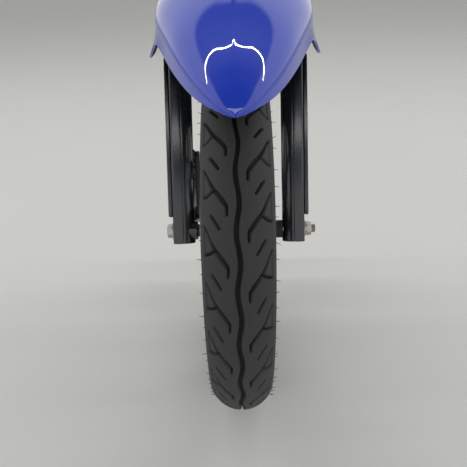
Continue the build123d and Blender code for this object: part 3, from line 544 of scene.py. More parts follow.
# The wall's corners inwards from the greatest half width and radius, and the bead's from the flange
OUTER_WALL = ((0.0003, 0.0310), (0.0001, 0.0335), (0.0010, 0.0345), (0.0020, 0.0385), (0.0034, 0.0425))
INNER_WALL = ((0.0085, 0.0420), (0.0060, 0.0310))
BEAD_FACE = ((0.0085, 0.0065), (0.0062, 0.0045), (0.0058, 0.0022), (0.0010, 0.0004), (0, -0.0010))
BEAD_X = 0.020
BEAD_DEPTH = 0.0132
GROOVE_DEPTH = 0.0052
CENTRE_GROOVE_HALF = 0.0023
CENTRE_WAVE = 0.0017
CENTRE_WAVE_TURN = 0.77
GROOVE_WALL = 0.0010
SIDE_SHIFT = 7.9
FIRST_HOOK = 8.34

# Grooves of one side of one pitch: degrees up from the hook's bend, then in mm the distance from the
# middle and half the width, and the share of the full depth
SIDE_GROOVES = (
    (
        (-2.3, 10.3, 0.75, 0.95),
        (-0.2, 10.4, 1.5, 0.9),
        (1.3, 14.8, 1.9, 0.78),
        (2.7, 19.5, 1.8, 0.75),
        (3.65, 23.3, 1.6, 0.9),
        (5.6, 28.5, 1.3, 0.95),
        (7.8, 33.4, 1.3, 0.95),
        (9.0, 37.0, 1.3, 0.9),
    ),
    ((3.65, 23.3, 1.3, 1.0), (2.9, 28.5, 1.5, 1.0), (2.5, 32.0, 1.6, 1.0), (2.3, 36.5, 1.6, 1.0)),
    ((-5.3, 18.2, 0.95, 1.0), (-3.4, 23.8, 1.1, 1.0), (-2.2, 27.6, 1.0, 1.0)),
)
# The block between the long groove and its branch leans outwards: its corners, as above, and its drop
SHOULDER_BLOCK = ((3.65, 23.3), (7.8, 33.4), (8.2, 38.0), (2.4, 38.0), (2.5, 32.0))
SHOULDER_BLOCK_DROP = 0.0011
SHOULDER_BLOCK_EDGE = 0.0008
SHOULDER_BLOCK_REACH = 0.014
SHOULDER_RIB = 0.0005
SHOULDER_RIB_BELOW = 0.0035
SHOULDER_RIB_HALF = 0.0007
# Grooves lose this share of their depth over this stretch, in metres from the tyre's middle
OUTER_LOSS = 0.45
OUTER_START = 0.018
OUTER_REACH = 0.02
HAIRS_PER_PITCH = 3
HAIR_SIDES = 5
HAIR_HALF = 0.00046
HAIR_SEED = 26


def tyre_outline():
    """The outer half section: a circle's arc from the crown's middle to the shoulder, then a quadratic
    curve down to the wall. Gives the place across, the radius and the distance along."""
    crown = np.linspace(0, math.asin(SHOULDER_X / CROWN_R), CROWN_SAMPLES)
    across = CROWN_R * np.sin(crown)
    radius = TYRE_R - CROWN_R + CROWN_R * np.cos(crown)
    turn = np.linspace(0, 1, TURN_SAMPLES)[1:, None]
    start = np.array([across[-1], radius[-1]])
    middle = np.array([TYRE_HALF - 0.0009, radius[-1] - 0.0045])
    end = np.array([TYRE_HALF - 0.0004, WALL_TURN_R])
    curve = (1 - turn) ** 2 * start + 2 * turn * (1 - turn) * middle + turn**2 * end
    outline = np.vstack([np.column_stack([across, radius]), curve])
    step = np.hypot(*np.diff(outline, axis=0).T)
    return outline[:, 0], outline[:, 1], np.concatenate([[0], np.cumsum(step)])


def groove_depths(along, across, side):
    """Depth from 0 to 1 at places of one pitch, from the distance to each groove's centre line.

    along runs up the tyre and across away from its middle, both in metres on the tread. The middle
    groove follows a cosine; the others are chains of straight pieces whose half width changes evenly.
    """
    hook = (FIRST_HOOK + (SIDE_SHIFT if side > 0 else 0)) * PER_DEGREE
    crest = (FIRST_HOOK + CENTRE_WAVE_TURN) * PER_DEGREE
    wave = side * CENTRE_WAVE * np.cos(TAU * (along - crest) / PITCH)
    depth = np.clip((CENTRE_GROOVE_HALF + GROOVE_WALL / 2 - abs(across - wave)) / GROOVE_WALL, 0, 1)
    for groove in SIDE_GROOVES:
        for (turn_a, x_a, half_a, deep_a), (turn_b, x_b, half_b, deep_b) in zip(groove, groove[1:]):
            for shift in range(-2, 2):
                start = np.array([hook + turn_a * PER_DEGREE + shift * PITCH, x_a * MM])
                reach = np.array([(turn_b - turn_a) * PER_DEGREE, (x_b - x_a) * MM])
                share = ((along - start[0]) * reach[0] + (across - start[1]) * reach[1]) / (reach @ reach)
                share = np.clip(share, 0, 1)
                away = np.hypot(along - start[0] - share * reach[0], across - start[1] - share * reach[1])
                half = (half_a + share * (half_b - half_a)) * MM
                deep = deep_a + share * (deep_b - deep_a)
                wall = np.clip((half + GROOVE_WALL / 2 - away) / GROOVE_WALL, 0, 1)
                depth = np.maximum(depth, deep * wall * wall * (3 - 2 * wall))
    return depth


def block_lean(along, across, side):
    """From 0 at the groove's bend to 1 at the shoulder, inside the leaning blocks only."""
    hook = FIRST_HOOK + (SIDE_SHIFT if side > 0 else 0)
    inside = np.zeros(np.broadcast(along, across).shape)
    corners = np.array(SHOULDER_BLOCK)
    for shift in range(-2, 2):
        ring = (corners + (hook, 0)) * (PER_DEGREE, MM) + (shift * PITCH, 0)
        reach = np.roll(ring, -1, axis=0) - ring
        cross = [
            (across - start[1]) * step[0] - (along - start[0]) * step[1] for start, step in zip(ring, reach)
        ]
        area = np.sum(ring[:, 0] * np.roll(ring[:, 1], -1) - np.roll(ring[:, 0], -1) * ring[:, 1])
        distances = [edge * np.sign(area) / np.linalg.norm(step) for edge, step in zip(cross, reach)]
        nearest = np.min(distances, axis=0)
        inside = np.maximum(inside, np.clip(nearest / SHOULDER_BLOCK_EDGE, 0, 1))
    return inside * np.clip((across - corners[0, 1] * MM) / SHOULDER_BLOCK_REACH, 0, 1)


def tread_grid(side):
    """Half of the tread: the outline is swept round the axle and pushed in by the grooves' depth."""
    outline_x, outline_r, outline_s = tyre_outline()
    across = np.linspace(0, outline_s[-1], TREAD_COLUMNS + 1)
    x = np.interp(across, outline_s, outline_x)
    radius = np.interp(across, outline_s, outline_r)
    tangent_x = np.gradient(x, across)
    tangent_r = np.gradient(radius, across)
    pitch_turn = TAU / TREAD_PITCHES
    turn = np.arange(PITCH_ROWS) / PITCH_ROWS * pitch_turn
    depth = groove_depths(turn[:, None] * TYRE_R, across[None, :], side)
    shoulder = outline_s[CROWN_SAMPLES - 1]
    shallow = 1 - OUTER_LOSS * np.clip((across - OUTER_START) / OUTER_REACH, 0, 1)
    runout = 1 - np.clip((across - shoulder) / (outline_s[-1] - shoulder), 0, 1) ** 2
    lean = block_lean(turn[:, None] * TYRE_R, across[None, :], side)
    drop = (depth * GROOVE_DEPTH * shallow + lean * SHOULDER_BLOCK_DROP) * runout
    rib = np.exp(-(((across - shoulder - SHOULDER_RIB_BELOW) / SHOULDER_RIB_HALF) ** 2))
    drop = drop - SHOULDER_RIB * rib * (1 - depth)
    drop, depth = np.tile(drop, (TREAD_PITCHES, 1)), np.tile(depth * runout, (TREAD_PITCHES, 1))
    turn = np.arange(PITCH_ROWS * TREAD_PITCHES) / (PITCH_ROWS * TREAD_PITCHES) * TAU
    moved_x = side * (x + drop * tangent_r)
    moved_r = radius - drop * tangent_x
    points = np.stack([moved_x, -moved_r * np.cos(turn)[:, None], moved_r * np.sin(turn)[:, None]], -1)
    return points + AXLE, depth


def tyre_piece(name, finish, grids, **options):
    """Places one of the pieces that together stand for the tyre."""
    place(name, make_mesh(name, grids, **options), "wheel", FINISHES[finish], ["tyre"])


def build_tyre():
    """The tread's two halves, the walls with their beads and inner side, and the vent hairs."""
    for side, word in ((-1, "right"), (1, "left")):
        points, depth = tread_grid(side)
        if side < 0:
            points, depth = points[:, ::-1], depth[:, ::-1]
        grid = (points, True, False)
        # The groove attribute carries the grooves' depth, which the tread's finish uses for painted shade and
        # for roughness.
        tyre_piece(f"tyre_tread_{word}", "tread", [grid], weld=False, values={"groove": depth})
    outline_x, outline_r, _ = tyre_outline()
    rim_low, rim_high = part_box("wheel_rim")
    flange_r = (rim_high[2] - rim_low[2]) / 2
    bead_r = flange_r - BEAD_DEPTH
    wall = np.vstack([
        (outline_x[-1] - 0.0002, outline_r[-1] + 0.0006),
        (TYRE_HALF, TYRE_R) - np.array(OUTER_WALL),
        (BEAD_X, flange_r) + np.array(BEAD_FACE),
        [(BEAD_X, bead_r), (BEAD_X - 0.0075, bead_r), (BEAD_X - 0.0070, flange_r - 0.0020)],
        (TYRE_HALF, TYRE_R) - np.array(INNER_WALL),
        [(0.0200, TYRE_R - 0.0140), (0.0, TYRE_R - 0.0092)],
    ])
    half = rounded_profile(wall, 0.0022, 4)
    loop = np.vstack([half, (half * (-1, 1))[-2::-1]])
    tyre_piece("tyre_walls", "wall", [turned(AXLE, ACROSS, loop, WALL_COLUMNS)])
    build_vent_hairs()


def build_vent_hairs():
    """Thin tapering rubber hairs that the mould's vents leave along both shoulders."""
    draw = np.random.default_rng(HAIR_SEED)
    per_side = HAIRS_PER_PITCH * TREAD_PITCHES
    side = np.repeat([-1, 1], per_side)
    turn = (np.tile(np.arange(per_side), 2) + draw.uniform(-0.3, 0.3, 2 * per_side)) * TAU / per_side
    length = draw.uniform(0.0030, 0.0058, 2 * per_side)
    radius = TYRE_R - 0.0215 + draw.uniform(-0.0015, 0.004, 2 * per_side)
    lean = draw.uniform(-0.35, 0.35, (2 * per_side, 2))
    share = np.linspace(0, 1, 5)
    angle = np.arange(HAIR_SIDES) * TAU / HAIR_SIDES
    base_x = side * (TYRE_HALF - 0.0022)
    outwards = np.column_stack([0 * turn, -np.cos(turn), np.sin(turn)])
    onwards = np.column_stack([0 * turn, np.sin(turn), np.cos(turn)])
    bend = share**2
    spine = (
        AXLE
        + (radius[:, None] * outwards)[:, None]
        + (base_x[:, None] + (side * length)[:, None] * share)[..., None] * ACROSS
        + ((lean[:, 0] * length)[:, None] * bend)[..., None] * outwards[:, None]
        + ((lean[:, 1] * length)[:, None] * bend)[..., None] * onwards[:, None]
    )
    ring = np.cos(angle)[:, None] * outwards[:, None] + np.sin(angle)[:, None] * onwards[:, None]
    thick = HAIR_HALF * (1 - 0.6 * share)
    tubes = spine[:, :, None] + thick[:, None, None] * ring[:, None]
    tips = np.repeat(spine[:, -1:, None], HAIR_SIDES, axis=2)
    grids = [(hair, False, True) for hair in np.concatenate([tubes, tips], axis=1)]
    tyre_piece("tyre_vent_hairs", "wall", grids)


# ---- mudguard ----

# Stations of the mudguard, in mm from the axle: behind, half width at the waist and at the edge,
# ridge, waist and edge heights
MUDGUARD_STATIONS = np.array((
    (-206.5, 0.5, 0.5, 226.6, 226.0, 225.4),
    (-203.0, 8.0, 8.0, 233.5, 228.6, 226.6),
    (-195.0, 16.5, 16.5, 243.5, 231.5, 228.4),
    (-174.0, 30.5, 30.5, 260.0, 237.0, 229.6),
    (-149.0, 44.0, 44.0, 275.5, 245.5, 234.0),
    (-118.0, 57.2, 57.5, 292.8, 256.0, 241.0),
    (-80.0, 69.8, 70.5, 309.0, 265.0, 248.5),
    (-46.0, 80.0, 82.5, 320.0, 272.0, 257.0),
    (-22.0, 85.5, 89.0, 326.0, 274.0, 257.0),
    (-4.0, 88.5, 95.0, 329.0, 273.0, 246.0),
    (14.0, 91.0, 103.0, 331.0, 272.0, 234.0),
    (40.0, 93.5, 106.5, 332.5, 271.0, 230.0),
    (75.0, 95.5, 107.5, 332.0, 269.0, 229.0),
    (120.0, 97.0, 107.5, 323.0, 264.0, 236.0),
    (170.0, 97.5, 106.5, 303.0, 258.0, 250.0),
))
MUDGUARD_ROWS = 150
MUDGUARD_COLUMNS = 120
MUDGUARD_WALL = 0.0026
SECTION_POWER = 0.95
CREASE_HEIGHT = 1.8
CREASE_HALF = 15.0
CREASE_RISE = 40.0
FLARE_POWER = 1.6
FAIRING_REACH = 24.0
SHELL_TOP_SHARE = 0.72
LEG_OPENING_R = 0.025
OPENING_SNAP = 0.0016
OPENING_MARGIN = 0.0002
SHEET_EDGE = 0.0009
BOSS_X = 0.030
BOSS_BEHIND = -0.012
BOSS_ALONG = 0.341
BOSS_R = 0.008
BOSS_HEIGHT = 0.017


def smooth_columns(table, where):
    """Each column of a table as a smooth curve over its first column, by monotone cubic pieces."""
    x, y = table[:, 0], table[:, 1:]
    step = np.diff(x)[:, None]
    slope = np.diff(y, axis=0) / step
    both = slope[:-1] * slope[1:] > 0
    weight = 3 * (step[:-1] + step[1:])
    blend = weight / ((2 * step[1:] + step[:-1]) / np.where(both, slope[:-1], 1)
                      + (step[1:] + 2 * step[:-1]) / np.where(both, slope[1:], 1))
    tangent = np.vstack([slope[:1], np.where(both, blend, 0), slope[-1:]])
    cell = np.clip(np.searchsorted(x, where) - 1, 0, len(x) - 2)
    share = ((where - x[cell]) / step[cell, 0])[:, None]
    gap = step[cell]
    return (
        (2 * share**3 - 3 * share**2 + 1) * y[cell]
        + (share**3 - 2 * share**2 + share) * gap * tangent[cell]
        + (3 * share**2 - 2 * share**3) * y[cell + 1]
        + (share**3 - share**2) * gap * tangent[cell + 1]
    )


def mudguard_sheet():
    """The outer face. Across a station the upper part is x = w sin a, z = waist + (ridge - waist) cos^p a,
    with a soft crease along the middle, and the lower part bends out from the waist to the edge. The
    stations' curves are averaged over a short stretch, which fairs them."""
    first, last = MUDGUARD_STATIONS[0, 0], MUDGUARD_STATIONS[-1, 0]
    share = np.linspace(0, 1, MUDGUARD_ROWS)
    behind = first + (last - first) * (0.55 * share + 0.45 * share**2)
    reach = np.minimum(FAIRING_REACH, np.minimum(behind - first, last - behind))
    shifts = np.linspace(-1, 1, 13)
    weights = np.cos(shifts * math.pi / 2.2) ** 2
    columns = sum(
        weight * smooth_columns(MUDGUARD_STATIONS, behind + shift * reach)
        for shift, weight in zip(shifts, weights)
    ) / weights.sum()
    waist, foot, ridge, waist_z, foot_z = columns.T[:, :, None]
    across = np.linspace(-1, 1, MUDGUARD_COLUMNS + 1)[None, :]
    side, reach = np.sign(across), np.abs(across)
    top = np.clip(reach / SHELL_TOP_SHARE, 0, 1)
    low = np.clip((reach - SHELL_TOP_SHARE) / (1 - SHELL_TOP_SHARE), 0, 1)
    angle = top * math.pi / 2
    x = waist * np.sin(angle) + (foot - waist) * low**FLARE_POWER
    z = waist_z + (ridge - waist_z) * np.cos(angle) ** SECTION_POWER - (waist_z - foot_z) * low
    crease = CREASE_HEIGHT * np.clip((ridge - waist_z) / CREASE_RISE, 0, 1)
    z = z + crease * np.clip(1 - x / CREASE_HALF, 0, 1) ** 2
    behind = np.broadcast_to(behind[:, None], x.shape)
    return AXLE + np.stack([side * x, behind, z], -1) * MM


def build_mudguard():
    """The painted sheet, snapped to the leg openings' edges, cut there and given its wall, and its bosses."""
    points = mudguard_sheet()
    offset = points - AXLE
    fork_x = np.abs(offset[..., 0]) - LEG_X
    fork_behind = offset @ BEHIND_FORK
    away = np.hypot(fork_x, fork_behind)
    near = abs(away - LEG_OPENING_R) < OPENING_SNAP
    factor = np.where(near, LEG_OPENING_R / np.maximum(away, WELD), 1)
    shift_x = np.sign(offset[..., 0]) * fork_x * (factor - 1)
    points = points + shift_x[..., None] * ACROSS + (fork_behind * (factor - 1))[..., None] * BEHIND_FORK
    mesh = make_mesh("mudguard_shell", [(points, False, False)], weld=False)
    shape = bmesh.new()
    shape.from_mesh(mesh)
    inside = []
    for face in shape.faces:
        centre = np.array(face.calc_center_median()) - AXLE
        aside, behind = abs(centre[0]) - LEG_X, centre @ BEHIND_FORK
        behind_leg = abs(aside) < LEG_OPENING_R and behind > 0
        if math.hypot(aside, behind) < LEG_OPENING_R - OPENING_MARGIN or behind_leg:
            inside.append(face)
    bmesh.ops.delete(shape, geom=inside, context="FACES")
    bmesh.ops.remove_doubles(shape, verts=shape.verts, dist=WELD)
    shape.to_mesh(mesh)
    shape.free()
    mesh.shade_smooth()
    shell = place("mudguard_shell", mesh, "fork", FINISHES["paint"], ["mudguard"])
    mesh.materials.append(FINISHES["plastic"].material)
    wall = shell.modifiers.new("wall", "SOLIDIFY")
    wall.thickness = MUDGUARD_WALL
    wall.offset = -1
    wall.use_even_offset = True
    wall.material_offset = 1
    evaluated = shell.evaluated_get(bpy.context.evaluated_depsgraph_get())
    walled = bpy.data.meshes.new_from_object(evaluated)
    inside = np.zeros(len(walled.polygons), np.int32)
    walled.polygons.foreach_get("material_index", inside)
    attribute = walled.attributes.new("inside", "FLOAT", "FACE")
    attribute.data.foreach_set("value", inside.astype(np.float32))
    walled.polygons.foreach_set("material_index", inside * 0)
    walled.materials.clear()
    walled.materials.append(FINISHES["paint"].material)
    walled.name = "mudguard_shell_walled"
    shell.modifiers.clear()
    shell.data = walled
    bevelled(shell, "edge", SHEET_EDGE, 2, 50)
    bosses = [
        rod(fork_point(x, BOSS_BEHIND, BOSS_ALONG), UP_FORK, BOSS_R, BOSS_HEIGHT) for x in (-BOSS_X, BOSS_X)
    ]
    mesh = make_mesh("mudguard_bosses", bosses)
    place("mudguard_bosses", mesh, "fork", FINISHES["plastic"], ["mudguard"], 40)


# ---- pieces turned or cut from bar ----

LEG_R = 0.015
LEG_FRONT = 0.0165
LEG_EDGE_R = 0.0008
LEG_CORNER_R = 0.004
LEG_FOOT = 0.0175
LEG_TOP = 0.262
LEG_COLLAR = 0.0315
LEG_COLLAR_R = 0.017
LEG_IN_COLLAR = 0.029
AXLE_BOSS = (0.013, 0.014, 0.0010)
LUG_BEHIND = 0.0245
LUG_R = 0.010
LUG_HEIGHTS = (0.024, 0.105)
LUG_FACES = (-0.0845, -0.0610)
GUARD_FACES = (0.0922, 0.0978)
SIDE_AXES = (BEHIND_FORK, UP_FORK, ACROSS)
FORK_AXES = (ACROSS, BEHIND_FORK, UP_FORK)


def leg_outline(side):
    """The leg's section: round behind and inwards, square in front and outwards with a rounded corner."""
    outline = np.vstack([
        arc((0, 0), LEG_R, 0, 270, 60),
        arc((LEG_EDGE_R, LEG_EDGE_R - LEG_FRONT), LEG_EDGE_R, 180, 270, 4),
        arc((LEG_R - LEG_CORNER_R, LEG_CORNER_R - LEG_FRONT), LEG_CORNER_R, 270, 360, 8),
    ])
    return outline if side > 0 else (outline * (-1, 1))[::-1]


def build_legs():
    """The lower legs with their round collars, the right one's axle boss and its two brake lugs."""
    collar = [
        (0, 0), (0, 0.0155), (0.0012, 0.0168), (0.0024, LEG_COLLAR_R),
        (LEG_COLLAR - 0.0005, LEG_COLLAR_R), (LEG_COLLAR, 0.0165), (LEG_COLLAR, 0),
    ]
    lug = np.vstack([arc((LUG_BEHIND, 0), LUG_R, -90, 90, 24), [(0.0, LUG_R), (0.0, -LUG_R)]])
    for side, word in ((-1, "right"), (1, "left")):
        x = side * LEG_X
        foot, collar_start = fork_point(x, 0, 0), fork_point(x, 0, LEG_TOP - LEG_COLLAR)
        grids = [
            bar(leg_outline(side), foot, FORK_AXES, -LEG_FOOT, LEG_TOP - LEG_IN_COLLAR, 0.0012),
            turned(collar_start, UP_FORK, collar, 64),
        ]
        if side < 0:
            grids.append(rod(fork_point(-0.072, 0, 0), ACROSS, *AXLE_BOSS))
            grids += [bar(lug, fork_point(0, 0, height), SIDE_AXES, *LUG_FACES) for height in LUG_HEIGHTS]
        stand_in(f"lower_leg_{word}", "drawn", grids, "fork", "leg")


def build_guards():
    """Covers over the legs' outer flanks, whose rims turn in to the leg."""
    half, low, high, corner = 0.014, 0.020, 0.240, 0.005
    centres = (
        (half - corner, low + corner), (half - corner, high - corner),
        (corner - half, high - corner), (corner - half, low + corner),
    )
    quarters = [arc(centre, corner, 90 * n - 90, 90 * n, 8) for n, centre in enumerate(centres)]
    outline = np.vstack(quarters)
    for side, word in ((-1, "right"), (1, "left")):
        faces = sorted(side * face for face in GUARD_FACES)
        grid = bar(outline, AXLE, SIDE_AXES, *faces, 0.0011)
        stand_in(f"fork_guard_{word}", "drawn", [grid], "fork", "leg")


DRIVE_X = (0.0343, 0.0395, 0.0510, 0.0620)
DRIVE_BORE_R = 0.0062
DRIVE_BOSS_R = 0.0125
GLAND_X = 0.04775
GLAND_ASIDE = 0.016
GLAND_LEAN = math.radians(20)
GLAND_R = 0.0055
GLAND_STEP_R = 0.0049
GLAND_SOCKET_R = 0.0030


def build_speedometer_drive():
    """A round housing on the axle between hub and left leg, with the cable's gland leaning up from it."""
    up = BEHIND_FORK * math.sin(GLAND_LEAN) + UP_FORK * math.cos(GLAND_LEAN)
    aside = BEHIND_FORK * math.cos(GLAND_LEAN) - UP_FORK * math.sin(GLAND_LEAN)
    start, inner, face, end = DRIVE_X
    housing = [
        (start, DRIVE_BORE_R), (start, 0.0090), (inner, 0.0090), (inner, 0.0245),
        (inner + 0.0006, 0.0250), (face - 0.0030, 0.0250), (face - 0.0009, 0.0236), (face, 0.0210),
        (face, 0.0140), (face + 0.0012, DRIVE_BOSS_R), (end, DRIVE_BOSS_R), (end, DRIVE_BORE_R),
        (start, DRIVE_BORE_R),
    ]
    gland = [
        (0, 0), (0, GLAND_R), (0.0285, GLAND_R), (0.0290, GLAND_STEP_R), (0.0315, GLAND_STEP_R),
        (0.0320, GLAND_R), (0.0394, GLAND_R), (0.0400, GLAND_STEP_R), (0.0400, 0.0032),
        (0.0397, GLAND_SOCKET_R), (0.0280, GLAND_SOCKET_R), (0.0280, 0),
    ]
    grids = [
        turned(AXLE, ACROSS, housing, 96),
        turned(AXLE + GLAND_X * ACROSS + GLAND_ASIDE * aside, up, gland, 40),
    ]
    stand_in("speedometer_drive", "turned", grids, "fork", "plastic")


# Socket bolts: head radius, head height, socket, shank radius and shank length
YOKE_BOLT = (0.0065, 0.007, 0.003, 0.004, 0.026)
LUG_BOLT = (0.0065, 0.006, 0.003, 0.004, 0.029)
PIN_BOLT = (0.0065, 0.006, 0.003, 0.004, 0.0141)
DISC_BOLT = (0.006, 0.004, 0.0025, 0.004, 0.0115)
MUDGUARD_BOLT = (0.006, 0.004, 0.0025, 0.003, 0.003)
CALIPER_TURN = math.radians(48)
PIN_OUT = 0.07625
PIN_ALONG = 0.0466
DISC_BOLT_X = -0.047
DISC_BOLT_CIRCLE_R = 0.040
UPPER_MUDGUARD_BOLTS = ((-BOSS_X, BOSS_BEHIND), (BOSS_X, BOSS_BEHIND), (0.0, 0.036))
LOWER_MUDGUARD_BOLTS = (-0.022, 0.022)
FORK_CAP = (0.026, 0.006, 0.0105, 0.012)
# Threaded stretches: from, to, radius, pitch and depth
AXLE_THREAD = (0.165, 0.2019, 0.006, 0.00125, 0.0007)
STEM_THREAD = (0.150, 0.188, 0.0127, 0.00106, 0.0006)
STEM_FOOT = -0.041
STEM_R = 0.0140
STEM_BORE_R = 0.0100


def build_shafts():
    """The axle bolt and the steering stem, each turned round its axis with a wound thread."""
    low, high, radius, pitch, depth = AXLE_THREAD
    end = high + 0.0004
    shaft = [(0, 0), (0, radius), *thread_rows(low, high, radius, pitch), (end, 0.0046), (end, 0)]
    head_end = fork_point(-0.094, 0, 0)
    axle = [
        hex_head(head_end, -ACROSS, 0.017, 0.0072, 0.0055, 0.004),
        turned(head_end, ACROSS, shaft, 48, wound(radius, low, high, pitch, depth)),
    ]
    low, high, radius, pitch, depth = STEM_THREAD
    profile = [
        (STEM_FOOT, STEM_BORE_R), (STEM_FOOT, 0.0145), (STEM_FOOT + 0.0005, 0.0150), (-0.0005, 0.0150),
        (0.0, STEM_R), (low - 0.0010, STEM_R), (low, radius), *thread_rows(low, high, radius, pitch),
        (high, 0.0117), (high, 0.0104), (high - 0.0004, STEM_BORE_R), (STEM_FOOT, STEM_BORE_R),
    ]
    stem = turned((0, 0, 0), UP_FORK, profile, 64, wound(radius, low, high, pitch, depth))
    return axle, [stem]


def build_fasteners():
    """Bolts, nut, caps, axle and stem where their solids are, with sockets, chamfers and threads."""
    out = np.array([math.sin(CALIPER_TURN), math.cos(CALIPER_TURN)])
    along = np.array([math.cos(CALIPER_TURN), -math.sin(CALIPER_TURN)])
    pins = [out * PIN_OUT + along * end * PIN_ALONG for end in (-1, 1)]
    angle = np.arange(5) * TAU / 5
    circle = DISC_BOLT_CIRCLE_R * np.cos(angle), DISC_BOLT_CIRCLE_R * np.sin(angle)
    disc_spots = AXLE + np.stack([0 * angle + DISC_BOLT_X, *circle], -1)
    axle, stem = build_shafts()
    pieces = {
        "yoke_bolts": ("fork", "zinc", [
            socket_bolt(fork_point(side * 0.090, -0.027, 0.389), side * ACROSS, *YOKE_BOLT)
            for side in (-1, 1)
        ]),
        "caliper_bolts": ("fork", "zinc", [
            *(socket_bolt(fork_point(LUG_FACES[0], LUG_BEHIND, height), -ACROSS, *LUG_BOLT)
              for height in LUG_HEIGHTS),
            *(socket_bolt(fork_point(-0.0696, *spot), -ACROSS, *PIN_BOLT) for spot in pins),
        ]),
        "disc_bolts": ("wheel", "black_steel", [
            socket_bolt(spot, -ACROSS, *DISC_BOLT) for spot in disc_spots
        ]),
        "mudguard_bolts": ("fork", "zinc", [
            *(socket_bolt(fork_point(x, behind, 0.361), UP_FORK, *MUDGUARD_BOLT)
              for x, behind in UPPER_MUDGUARD_BOLTS),
            *(socket_bolt(fork_point(x, 0.014, 0.358), -UP_FORK, *MUDGUARD_BOLT)
              for x in LOWER_MUDGUARD_BOLTS),
        ]),
        "fork_caps": ("fork", "zinc", [
            hex_head(fork_point(x, 0, 0.406), UP_FORK, *FORK_CAP) for x in (-LEG_X, LEG_X)
        ]),
        "axle_nut": ("fork", "zinc", [hex_nut(fork_point(0.094, 0, 0), ACROSS, 0.017, 0.0085, 0.0061)]),
        "axle_bolt": ("fork", "zinc", axle),
        "steering_stem": ("fork", "black_steel", stem),
    }
    for name, (body, finish, grids) in pieces.items():
        stand_in(name, "turned", grids, body, finish)


# ---- pieces whose CAD form is kept, with eased edges ----

CASTING = ("wheel_hub", "wheel_spokes", "wheel_rim")
CASTING_SEAMS = (0.0440, 0.1551)
# Each CAD node's body, finish and edge width
EASED = {
    "bottom_yoke": ("fork", "black_steel", 0.0015),
    "caliper": ("fork", "alloy", 0.0010),
    "caliper_bracket": ("fork", "black_steel", 0.0006),
    "mudguard_bracket": ("fork", "black_steel", 0.0006),
    "inner_mudguard": ("fork", "plastic", 0.0007),
    "brake_disc": ("wheel", "disc", 0.0003),
    "brake_pads": ("fork", "lining", 0.0004),
    "wheel_collar": ("fork", "black_steel", 0.0004),
    "axle_washers": ("fork", "zinc", 0.0003),
    "fork_tube_left": ("fork", "chrome", 0.0004),
    "fork_tube_right": ("fork", "chrome", 0.0004),
    "crown_race": ("fork", "steel", 0.0003),
    "wheel_bearings": ("wheel", "steel", 0.0004),
    "hub_seals": ("wheel", "rubber", 0.0004),
    "dust_seal_left": ("fork", "rubber", 0.0005),
    "dust_seal_right": ("fork", "rubber", 0.0005),
    "valve_stem": ("wheel", "rubber", 0.0004),
}


def ease(name, members, body, finish, width, seams=()):
    """A merged copy of CAD nodes whose sharp edges are rounded by a bevel.

    Nodes that are one casting lose the faces where they meet, which lie at the seams' distances from
    the axle.
    """
    mesh = bpy.data.meshes.new(f"{name}_eased")
    shape = bmesh.new()
    for node in members:
        shape.from_mesh(nodes[node].data)
    bmesh.ops.remove_doubles(shape, verts=shape.verts, dist=2e-6)
    for seam in seams:
        rim = {
            v for v in shape.verts
            if abs(math.hypot(v.co.y - AXLE[1], v.co.z - AXLE[2]) - seam) < 1e-5
        }
        joined = [face for face in shape.faces if rim.issuperset(face.verts)]
        bmesh.ops.delete(shape, geom=joined, context="FACES_ONLY")
    bmesh.ops.dissolve_limit(shape, angle_limit=math.radians(0.4), verts=shape.verts, edges=shape.edges)
    shape.to_mesh(mesh)
    shape.free()
    mesh.shade_smooth()
    piece = place(f"{name}_eased", mesh, body, FINISHES[finish], members)
    bevelled(piece, "eased_edges", width, 3, 32)


build_tyre()
build_mudguard()
build_legs()
build_guards()
build_speedometer_drive()
build_fasteners()
ease("wheel_casting", CASTING, "wheel", "cast", 0.0012, CASTING_SEAMS)
for name, (body, finish, width) in EASED.items():
    ease(name, [name], body, finish, width)


# ---- floor, light and camera ----

CAMERA_FROM_AXLE = np.array([0.0019, -0.5744, 0.3388])
CAMERA_DOWN = math.radians(30.994)
CAMERA_ROLL = math.radians(1.729)
CAMERA_YAW = math.radians(-0.961)
FOCAL_PIXELS = 467.04
PICTURE_PIXELS = 467
SENSOR = 36.0
FLOOR_HALF = 12.0
FLOOR_COLOURS = ((0.74, 0.735, 0.70), (0.78, 0.775, 0.74))
WALL_COLOUR = (0.82, 0.82, 0.82)
CEILING_COLOUR = (0.02, 0.022, 0.03)
CEILING_FROM = (0.57, 0.64)
ROOM_STRENGTH = 1.05
# Name, place, target, width, height and power
LIGHTS = (
    ("ceiling_strip", (0.0, 0.43, 2.2), (0, 0.43, 0), 9.0, 0.010, 68),
    ("front_strip", (0.0, -2.2, 1.3), (0, -0.2, -0.3), 3.4, 0.3, 9),
)


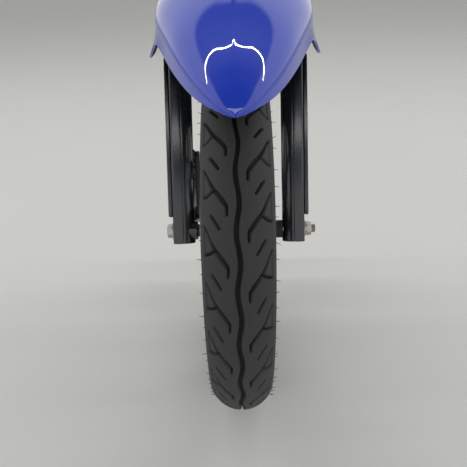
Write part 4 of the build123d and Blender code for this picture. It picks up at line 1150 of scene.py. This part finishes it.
def build_camera():
    """Camera axes from how far it looks down, aside and how far it rolls about its view."""
    aside, ahead = math.sin(CAMERA_YAW), math.cos(CAMERA_YAW)
    flat = math.cos(CAMERA_DOWN)
    look = np.array([aside * flat, ahead * flat, -math.sin(CAMERA_DOWN)])
    level = np.array([ahead, -aside, 0])
    down = np.cross(look, level)
    right = level * math.cos(CAMERA_ROLL) + down * math.sin(CAMERA_ROLL)
    down = down * math.cos(CAMERA_ROLL) - level * math.sin(CAMERA_ROLL)
    data = bpy.data.cameras.new("camera")
    data.sensor_fit = "HORIZONTAL"
    data.sensor_width = SENSOR
    data.lens = FOCAL_PIXELS / PICTURE_PIXELS * SENSOR
    data.clip_start = 0.01
    camera = linked("camera", data)
    turn = Matrix(np.column_stack([right, -down, -look]).tolist()).to_4x4()
    camera.matrix_world = Matrix.Translation((AXLE + CAMERA_FROM_AXLE).tolist()) @ turn
    bpy.context.scene.camera = camera


def soft_light(name, where, target, width, height, power):
    """A soft box: an area light of that size that looks from where to target."""
    data = bpy.data.lights.new(name, "AREA")
    data.shape = "RECTANGLE"
    data.size, data.size_y = width, height
    data.energy = power
    light = linked(name, data)
    light.location = where
    light.rotation_euler = (Vector(target) - Vector(where)).to_track_quat("-Z", "Y").to_euler()


class Room(Finish):
    """The studio round the object: pale walls and a dim ceiling, which reaches further down in front."""

    TILT = math.radians(12)

    def __init__(self, walls, ceiling, strength):
        world = bpy.data.worlds.new("studio")
        bpy.context.scene.world = world
        world.use_nodes = True
        self.tree = world.node_tree
        self.shader = self.tree.nodes["Background"]
        direction = self.node("ShaderNodeTexCoord", output="Generated")
        height = self.node("ShaderNodeSeparateXYZ", None, {"Vector": direction}, output="Z")
        depth = Signal(self, height.socket.node.outputs["Y"])
        above = height * math.cos(self.TILT) - depth * math.sin(self.TILT)
        self.set(Color=self.mix(above.rising(*CEILING_FROM), walls, ceiling), Strength=strength)


def build_stage():
    """The plain pale floor, the room and its lights."""
    floor_finish = Finish("pale_floor", Roughness=0.55)
    cloud = floor_finish.noise(0.4, 3.0)
    floor_finish.set(**{"Base Color": floor_finish.mix(cloud, *FLOOR_COLOURS)})
    ends = (-FLOOR_HALF, FLOOR_HALF)
    corners = np.array([[[x, y, FLOOR_Z] for x in ends] for y in ends])
    mesh = make_mesh("floor", [(corners, False, False)], weld=False)
    floor = linked("floor", mesh)
    mesh.materials.append(floor_finish.material)
    Room(WALL_COLOUR, CEILING_COLOUR, ROOM_STRENGTH)
    for light in LIGHTS:
        soft_light(*light)


bpy.context.scene.view_settings.view_transform = "Standard"
build_camera()
build_stage()
